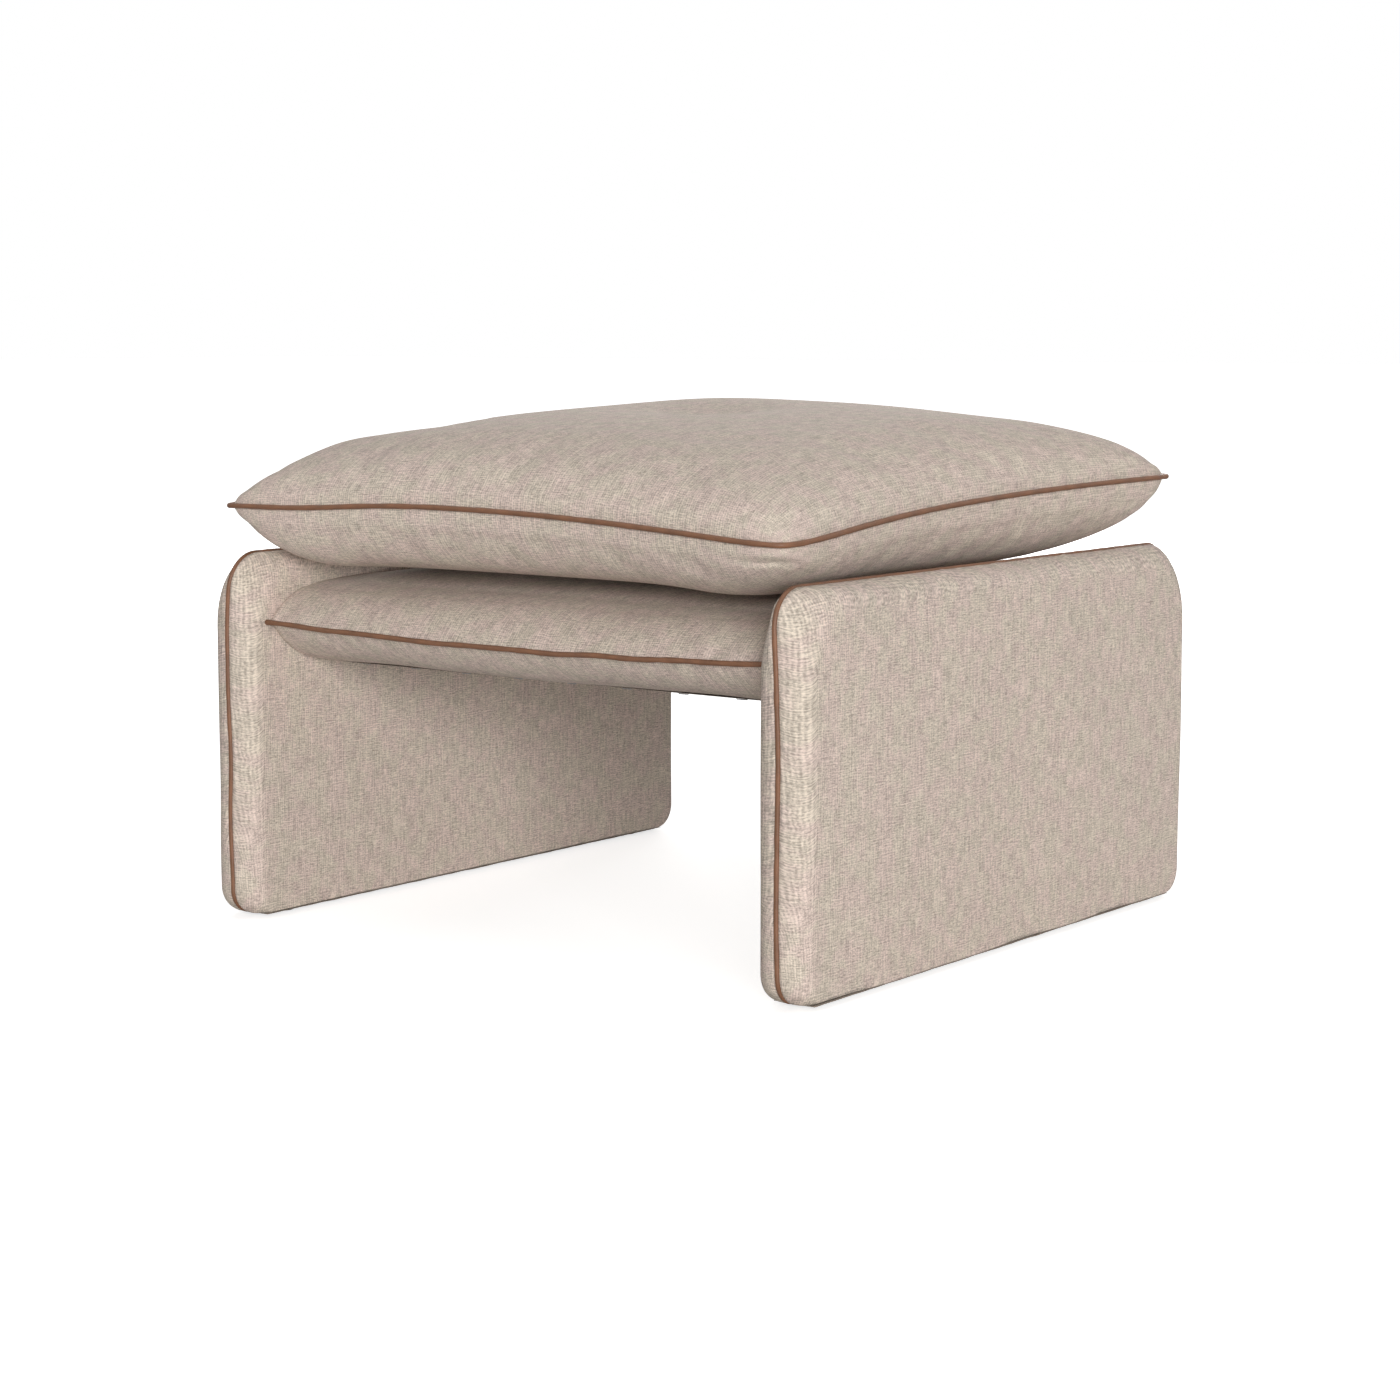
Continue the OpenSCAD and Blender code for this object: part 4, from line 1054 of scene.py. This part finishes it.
class OTTOMAN_OT_deck(bpy.types.Operator):
    """Makes the deck's top cloth, the cloth under its front and back, and its two cords"""

    bl_idname = "ottoman.deck"
    bl_label = "Deck"

    def execute(self, context):
        sizes, finishes = context.scene.ottoman_sizes, finishes_of(context)
        columns, cord_gap = DECK_X * share_lines(170)[None, :], 0.0004
        x = columns * np.ones((150, 1))
        y = share_lines(150, 1.0)[:, None] * DECK_END * np.ones_like(x)
        self.cover("deck_top_cloth", np.stack([x, y, deck_top(sizes, x, y)], -1), False, finishes,
                   "deck_cover")
        x = columns * np.ones((60, 1))
        y = mix(RAIL_IN, DECK_END, np.sin(np.linspace(0, math.pi / 2, 60))[:, None]) * np.ones_like(x)
        for word, end in (("front", -1), ("rear", 1)):
            under = np.stack([x, y * end, deck_under(sizes, x, y)], -1)
            self.cover(f"{word}_nose_cloth", under, end > 0, finishes, f"{word}_under_cover")
            along = np.linspace(-1, 1, 160) * (DECK_X - cord_gap)
            stray = ripples(along[:, None], length=0.09, seed=43 + end, height=0.0004)
            path = np.stack([along, np.full(160, end * NOSE_Y), deck_seam(sizes, along) + stray], 1)
            cord(f"{word}_deck_cord", FIXED, path, (0, 0, 1), finishes, [f"{word}_piping"],
                 seed=41 + end)
        self.padding(sizes, finishes)
        self.lining(sizes, finishes)
        return {"FINISHED"}

    def padding(self, sizes, finishes):
        """The foam over the webbing and the rolls before and behind it, all just inside the cloth."""
        inside, stations = DECK_PAD_INSIDE, DECK_X * share_lines(60)
        y = np.linspace(-FOAM_Y, FOAM_Y, 60)
        rings = []
        for x in stations:
            top = np.stack([np.full(60, x), y, deck_top(sizes, x, y, inside)], -1)
            rings.append(np.concatenate([top, top[::-1] * [1, 1, 0] + [0, 0, ROLL_TOP + FOAM_GAP]]))
        shape = Shape().add_rings(np.array(rings))
        foam = shape.piece("deck_padding", FIXED, "foam", finishes, ["deck_foam"])
        nose = DECK_END - inside
        upper = mix(nose, FOAM_Y + FOAM_GAP, np.linspace(0, 1, 20) ** 1.6)
        lower = mix(ROLL_BACK, nose, np.sin(np.linspace(0, math.pi / 2, 24)))[:-1]
        y = np.concatenate([upper, [upper[-1], ROLL_BACK], lower])
        for word, end in (("front", -1), ("rear", 1)):
            rings = []
            for x in stations:
                z = np.concatenate([deck_top(sizes, x, upper, inside), [ROLL_TOP] * 2,
                                    deck_under(sizes, x, lower, inside)])
                rings.append(np.stack([np.full(len(y), x), end * y, z], -1))
            shape = Shape().add_rings(np.array(rings), flip=end > 0)
            roll = shape.piece(f"{word}_foam_roll", FIXED, "foam", finishes, [f"{word}_roll"])

    def lining(self, sizes, finishes):
        """The cloth stapled under the deck: level, then up along the nose, with slight waves."""
        half_w, half_l = LINING_HIGH.x, LINING_HIGH.y
        x, y = even_grid(half_w, half_l, 150, 120)
        wave = ripples(np.stack([x, y], -1), length=0.12, seed=77, height=0.0009)
        fade = 0.05
        wave *= ease((half_w - np.abs(x)) / fade) * ease((half_l - np.abs(y)) / fade)
        z = below_rails(sizes, x, y, 0.0006) - np.abs(wave)
        points = np.stack([x, y, z], -1)
        sheet = Shape().add(points, laid_flat(points), flip=True).piece(
            "deck_dust_cover", FIXED, "lining", finishes, ["deck_lining"])
        thicken(sheet, LINING_T)
        self.staples(sizes, half_w, half_l, finishes)

    def staples(self, sizes, half_w, half_l, finishes):
        """Steel staples along the lining's four edges, each a wire with two bent ends."""
        wire_mm = [[-5.0, 0.5], [-5.0, -0.1], [-4.6, -0.5], [4.6, -0.5], [5.0, -0.1], [5.0, 0.5]]
        wire, wire_r = np.array(wire_mm) / 1000, 0.0004
        edge_x, edge_y, last_x, last_y = half_w - 0.006, half_l - 0.006, 0.24, 0.15
        spots = [(x, s * edge_y, 0) for s in (-1, 1) for x in np.linspace(-last_x, last_x, 9)]
        spots += [(s * edge_x, y, 1) for s in (-1, 1) for y in np.linspace(-last_y, last_y, 6)]
        shape, draw = Shape(), np.random.default_rng(7)
        for x, y, turned in spots:
            z = below_rails(sizes, x, y, 0.0011)
            turn = turned * math.pi / 2 + draw.normal(0, 0.09)
            along = np.array([math.cos(turn), math.sin(turn), 0])
            path = [x, y, z] + wire[:, :1] * along + wire[:, 1:] * [0, 0, 1]
            points, flat = cord_grid(path, wire_r, np.cross(along, (0, 0, 1)), sides=6)
            shape.add(points, flat, closed_cols=True)
        shape.piece("lining_staples", FIXED, "steel", finishes)

    def cover(self, name, points, flip, finishes, node):
        """A cloth with slow waves and gathers at its seam, tucked down beside the panels."""
        cloth, normal, x = laid_flat(points), outward(points, flip=flip), points[..., 0]
        from_seam = DECK_END - np.abs(points[..., 1])
        place = np.stack([x, from_seam * 0.3], -1)
        wave = ripples(place, length=0.022, seed=len(name), height=0.0004)
        wave *= bell(from_seam, 0.006, 0.01) * ease(from_seam / 0.002)
        wave += ripples(points, length=0.14, seed=51, height=0.0006) * ease(from_seam / 0.04)
        settled_in = 0.0006 * (from_seam > 0.04)
        points = tucked_ends(points + normal * (wave - settled_in)[..., None], x, normal)
        shape = Shape().add(points, cloth, flip=flip)
        thicken(shape.piece(name, FIXED, "upholstery", finishes, [node]), CLOTH_T)


class OTTOMAN_OT_cushion(bpy.types.Operator):
    """Makes the loose cushion: its stuffed cover, the cord round its edge and its filling"""

    bl_idname = "ottoman.cushion"
    bl_label = "Cushion"

    def execute(self, context):
        sizes, finishes = context.scene.ottoman_sizes, finishes_of(context)
        u_lines, v_lines = self.grid_lines(sizes)
        v, u = np.meshgrid(v_lines, u_lines, indexing="ij")
        moves = stuffed_moves(sizes)
        shape = Shape()
        for top in (True, False):
            side = cushion_side(sizes, u, v, top)
            cloth = laid_flat(side, alike=True)
            side = self.stuffed(u, v, side, top, moves, u_lines, v_lines)
            if not top:
                side[..., 2] = np.maximum(side[..., 2], REST_Z)
                unlifted = side[..., 2].copy()
                side = self.slotted(sizes, u, v, side)
                cloth[..., 1] += side[..., 2] - unlifted
            shape.add(side, cloth, flip=not top)
        cover = shape.piece("cushion_cover", LOOSE, "upholstery", finishes,
                            ["cushion_top_cover", "cushion_bottom_cover"])
        self.filling(sizes, finishes, moves)
        lines = share_lines(150)[:-1]
        ones = np.ones(len(lines))
        u = np.concatenate([lines, ones, -lines, -ones])
        v = np.concatenate([-ones, lines, ones, -lines])
        path = np.stack([*cushion_plan(sizes, u, v, 0.0), cushion_seam(sizes, u, v)], 1)
        cord("cushion_cord", LOOSE, path, (0, 0, 1), finishes, ["cushion_piping"], seed=61,
             closed=True)
        return {"FINISHED"}

    def zip_plan(self, sizes):
        """Half width and half depth of the underside, read where the zip lies: its sides drawn in there."""
        edge = SEAM_HALF / (1 - sizes.draw_in)
        depth = (sizes.cushion_half_depth - edge) * (1 - sizes.draw_in)
        drawn = 1 - sizes.draw_in * (1 - (ZIP_Y / depth) ** 2)
        return (sizes.cushion_half_width - edge) * drawn, depth

    def grid_lines(self, sizes):
        """Share lines of the cover, with pairs of them at the sides of the zip's slot."""
        lines = share_lines(190, 0.96)
        closest = 0.0018
        width, depth = self.zip_plan(sizes)
        ends, sides = (np.array([-far, SLOT_WALL - far, far - SLOT_WALL, far])
                       for far in (SLOT_X, SLOT_HALF))
        both = []
        for extra in (ends / width, (ZIP_Y + sides) / depth):
            kept = lines[np.abs(lines[:, None] - extra).min(1) > closest]
            both.append(np.sort(np.concatenate([kept, extra])))
        return both

    def stuffed(self, u, v, side, top, moves, u_lines, v_lines):
        """Adds a share of the simulated cloth's folds to a side of the cushion, except where it lies."""
        if moves is None:
            return side
        sim_lines, halves = moves
        field = halves[0 if top else 1]
        slow = softened(field, 60)
        added = resampled(FOLD_SHARE * (field - slow), sim_lines, v_lines, u_lines)
        clear, fade, rim_share = 0.004, 0.02, 0.02
        lifted = 1.0 if top else ease((side[..., 2] - REST_Z - clear) / fade)[..., None]
        rim = np.minimum(1 - np.abs(u), 1 - np.abs(v))
        return side + added * lifted * ease(rim / rim_share)[..., None]

    def slotted(self, sizes, u, v, side):
        """Straightens the rows beside the zip and lifts what lies in its slot up over the slider."""
        width, depth = self.zip_plan(sizes)
        x, y = u * width, v * depth
        reach_x, reach_y, fade = 0.215, 0.045, 0.03
        near = ease((reach_x - np.abs(x)) / fade) * ease((reach_y - np.abs(y - ZIP_Y)) / fade)
        side[..., 0] = mix(side[..., 0], x, near)
        side[..., 1] = mix(side[..., 1], y, near)
        mid_wall = SLOT_WALL / 2
        slot = (np.abs(x) < SLOT_X - mid_wall) & (np.abs(y - ZIP_Y) < SLOT_HALF - mid_wall)
        side[..., 2] = np.where(slot, INSERT_TOP - 0.0002, side[..., 2])
        return side

    def filling(self, sizes, finishes, moves):
        """The filled inner cushion, a little smaller than the cover, with a groove over the zip."""
        lines = share_lines(60)
        v, u = np.meshgrid(lines, lines, indexing="ij")
        upper, lower = (self.stuffed(u, v, cushion_side(sizes, u, v, top, FILLING_INSIDE), top, moves,
                                     lines, lines) for top in (True, False))
        half_length, half_width = ZIP_HIGH.x + 0.004, 0.02
        x, y = lower[..., 0], lower[..., 1]
        groove = (np.abs(x) < half_length) & (np.abs(y - ZIP_Y) < half_width)
        lower[..., 2] = np.where(groove, np.maximum(lower[..., 2], INSERT_TOP), lower[..., 2])
        pillow = Shape().add(upper).add(lower, flip=True).piece(
            "cushion_filling", LOOSE, "ticking", finishes, ["cushion_insert"])


class OTTOMAN_OT_frame_finish(bpy.types.Operator):
    """Gives every piece that stays as it is in the frame its own finish"""

    bl_idname = "ottoman.frame_finish"
    bl_label = "Frame finish"

    def execute(self, context):
        finishes = finishes_of(context)
        slots = {row["node"]: row["material_slot"] for row in frame["record"]["subparts"]}
        for name, node in NODES.items():
            if not node.hide_render:
                node.data.materials.clear()
                node.data.materials.append(finishes[slots[name]])
        return {"FINISHED"}


class OTTOMAN_PT_panel(bpy.types.Panel):
    """Sizes, colours and pieces of the ottoman"""

    bl_idname = "OTTOMAN_PT_panel"
    bl_label = "Ottoman"
    bl_space_type = "VIEW_3D"
    bl_region_type = "UI"
    bl_category = "Ottoman"

    def draw(self, context):
        layout = self.layout
        for group in (context.scene.ottoman_sizes, context.scene.ottoman_colours):
            for name in group.__annotations__:
                layout.prop(group, name)
        for operator in OPERATORS:
            layout.operator(operator.bl_idname)


OPERATORS = (OTTOMAN_OT_stage, OTTOMAN_OT_panels, OTTOMAN_OT_panel_cords, OTTOMAN_OT_deck,
             OTTOMAN_OT_cushion, OTTOMAN_OT_frame_finish)
CLASSES = (OttomanSizes, OttomanColours, *OPERATORS, OTTOMAN_PT_panel)


def register():
    for cls in CLASSES:
        bpy.utils.register_class(cls)
    bpy.types.Scene.ottoman_sizes = bpy.props.PointerProperty(type=OttomanSizes)
    bpy.types.Scene.ottoman_colours = bpy.props.PointerProperty(type=OttomanColours)


def unregister():
    del bpy.types.Scene.ottoman_colours
    del bpy.types.Scene.ottoman_sizes
    for cls in reversed(CLASSES):
        bpy.utils.unregister_class(cls)


def main():
    """Registers the add-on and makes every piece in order."""
    register()
    for operator in OPERATORS:
        group, name = operator.bl_idname.split(".")
        getattr(getattr(bpy.ops, group), name)()


if __name__ == "__main__":
    main()
